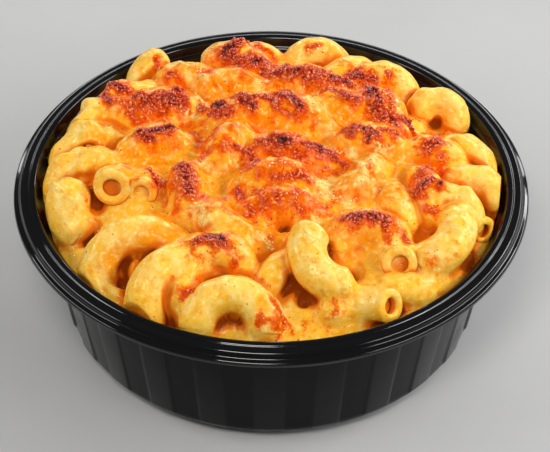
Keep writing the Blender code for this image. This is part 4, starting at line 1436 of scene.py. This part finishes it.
def aim_camera():
    """Stands the camera on the line from the rim's middle, turns it so that the rim's middle falls
    ASIDE and BELOW the view's middle, then rolls it."""
    forward = np.array([0.0, np.cos(TILT), -np.sin(TILT)])
    upward = np.array([0.0, np.sin(TILT), np.cos(TILT)])
    place = -DISTANCE * forward + np.array([0.0, 0.0, RIM_HEIGHT])
    nod, yaw = atan(BELOW / REACH), atan(-ASIDE / REACH)
    ahead, up = turned(forward, upward, nod)
    right = np.array([1.0, 0.0, 0.0])
    ahead, right = turned(ahead, right, yaw)
    right, up = turned(right, up, ROLL)
    data = bpy.data.cameras.new("table_view")
    data.lens = REACH / VIEW_WIDTH * SENSOR
    data.sensor_width = SENSOR
    data.clip_start, data.clip_end = 0.05, 20.0
    camera = bpy.data.objects.new("table_view", data)
    bpy.context.scene.collection.objects.link(camera)
    matrix = np.eye(4)
    matrix[:3, 0], matrix[:3, 1], matrix[:3, 2], matrix[:3, 3] = right, up, -ahead, place * MM
    camera.matrix_world = Matrix(matrix.tolist())
    bpy.context.scene.camera = camera
    return camera


camera = aim_camera()
print("lens", round(camera.data.lens, 1), "mm")

# %% [markdown]
# ## Floor
#
# A plain pale floor, matt and very slightly cloudy, as a painted board is.

# %% Floor
def pale_floor():
    """A square of pale paint, just under the foot so that the two don't flicker together."""
    half, drop = 3.0, 0.0002                  # metres
    corners = [(-half, -half, -drop), (half, -half, -drop), (half, half, -drop), (-half, half, -drop)]
    material, tree, shader = new_material("pale_floor")
    paint = [(0.3, (0.45, 0.45, 0.45, 1)), (0.7, (0.48, 0.48, 0.477, 1))]
    tint = ramp(tree, noise(tree, 60.0, 3.0), paint)
    plug(tree, tint, shader.inputs["Base Color"])
    shader.inputs["Roughness"].default_value = 0.7
    mesh = bpy.data.meshes.new("floor")
    mesh.from_pydata(corners, [], [(0, 1, 2, 3)])
    mesh.materials.append(material)
    floor = bpy.data.objects.new("floor", mesh)
    bpy.context.scene.collection.objects.link(floor)
    print("floor", 2 * half, "m square")


pale_floor()

# %% [markdown]
# ## Light
#
# Soft studio light: a key above and in front, a long low box on either side and behind, and a
# narrow strip at the back right. Each box shows in the rounded corners of the rim as a line, and
# the lower the box, the thinner its line.

# %% Lights
def soft_light(name, place, size, power, tint=(1.0, 1.0, 1.0)):
    """A rectangle of light at a place in metres, facing the middle of the food."""
    data = bpy.data.lights.new(name, "AREA")
    data.shape = "RECTANGLE"
    data.size, data.size_y = size
    data.energy = power
    data.color = tint
    light = bpy.data.objects.new(name, data)
    place = np.array(place, float)
    back = place - np.array([0.0, 0.0, 0.05])
    back /= np.linalg.norm(back)
    side = np.cross((0.0, 0.0, 1.0), back)
    side /= np.linalg.norm(side)
    matrix = np.eye(4)
    matrix[:3, 0], matrix[:3, 1], matrix[:3, 2], matrix[:3, 3] = side, np.cross(back, side), back, place
    light.matrix_world = Matrix(matrix.tolist())
    bpy.context.scene.collection.objects.link(light)


soft_light("key", (-0.12, -0.60, 0.92), (0.30, 0.24), 4.6, (1.0, 0.97, 0.92))
soft_light("right_box", (0.80, -0.12, 0.62), (1.40, 0.14), 9.6)
soft_light("left_box", (-0.85, 0.00, 0.55), (0.80, 0.14), 3.9)
soft_light("back_box", (0.00, 1.00, 0.40), (1.50, 0.16), 5.0)
soft_light("rim_strip", (0.78, 0.62, 0.46), (0.90, 0.10), 3.4)
world = bpy.data.worlds.new("studio")
world.use_nodes = True
background = world.node_tree.nodes["Background"]
background.inputs["Color"].default_value = (0.92, 0.95, 1.0, 1.0)
background.inputs["Strength"].default_value = 0.10
bpy.context.scene.world = world
bpy.context.scene.view_settings.view_transform = "Standard"
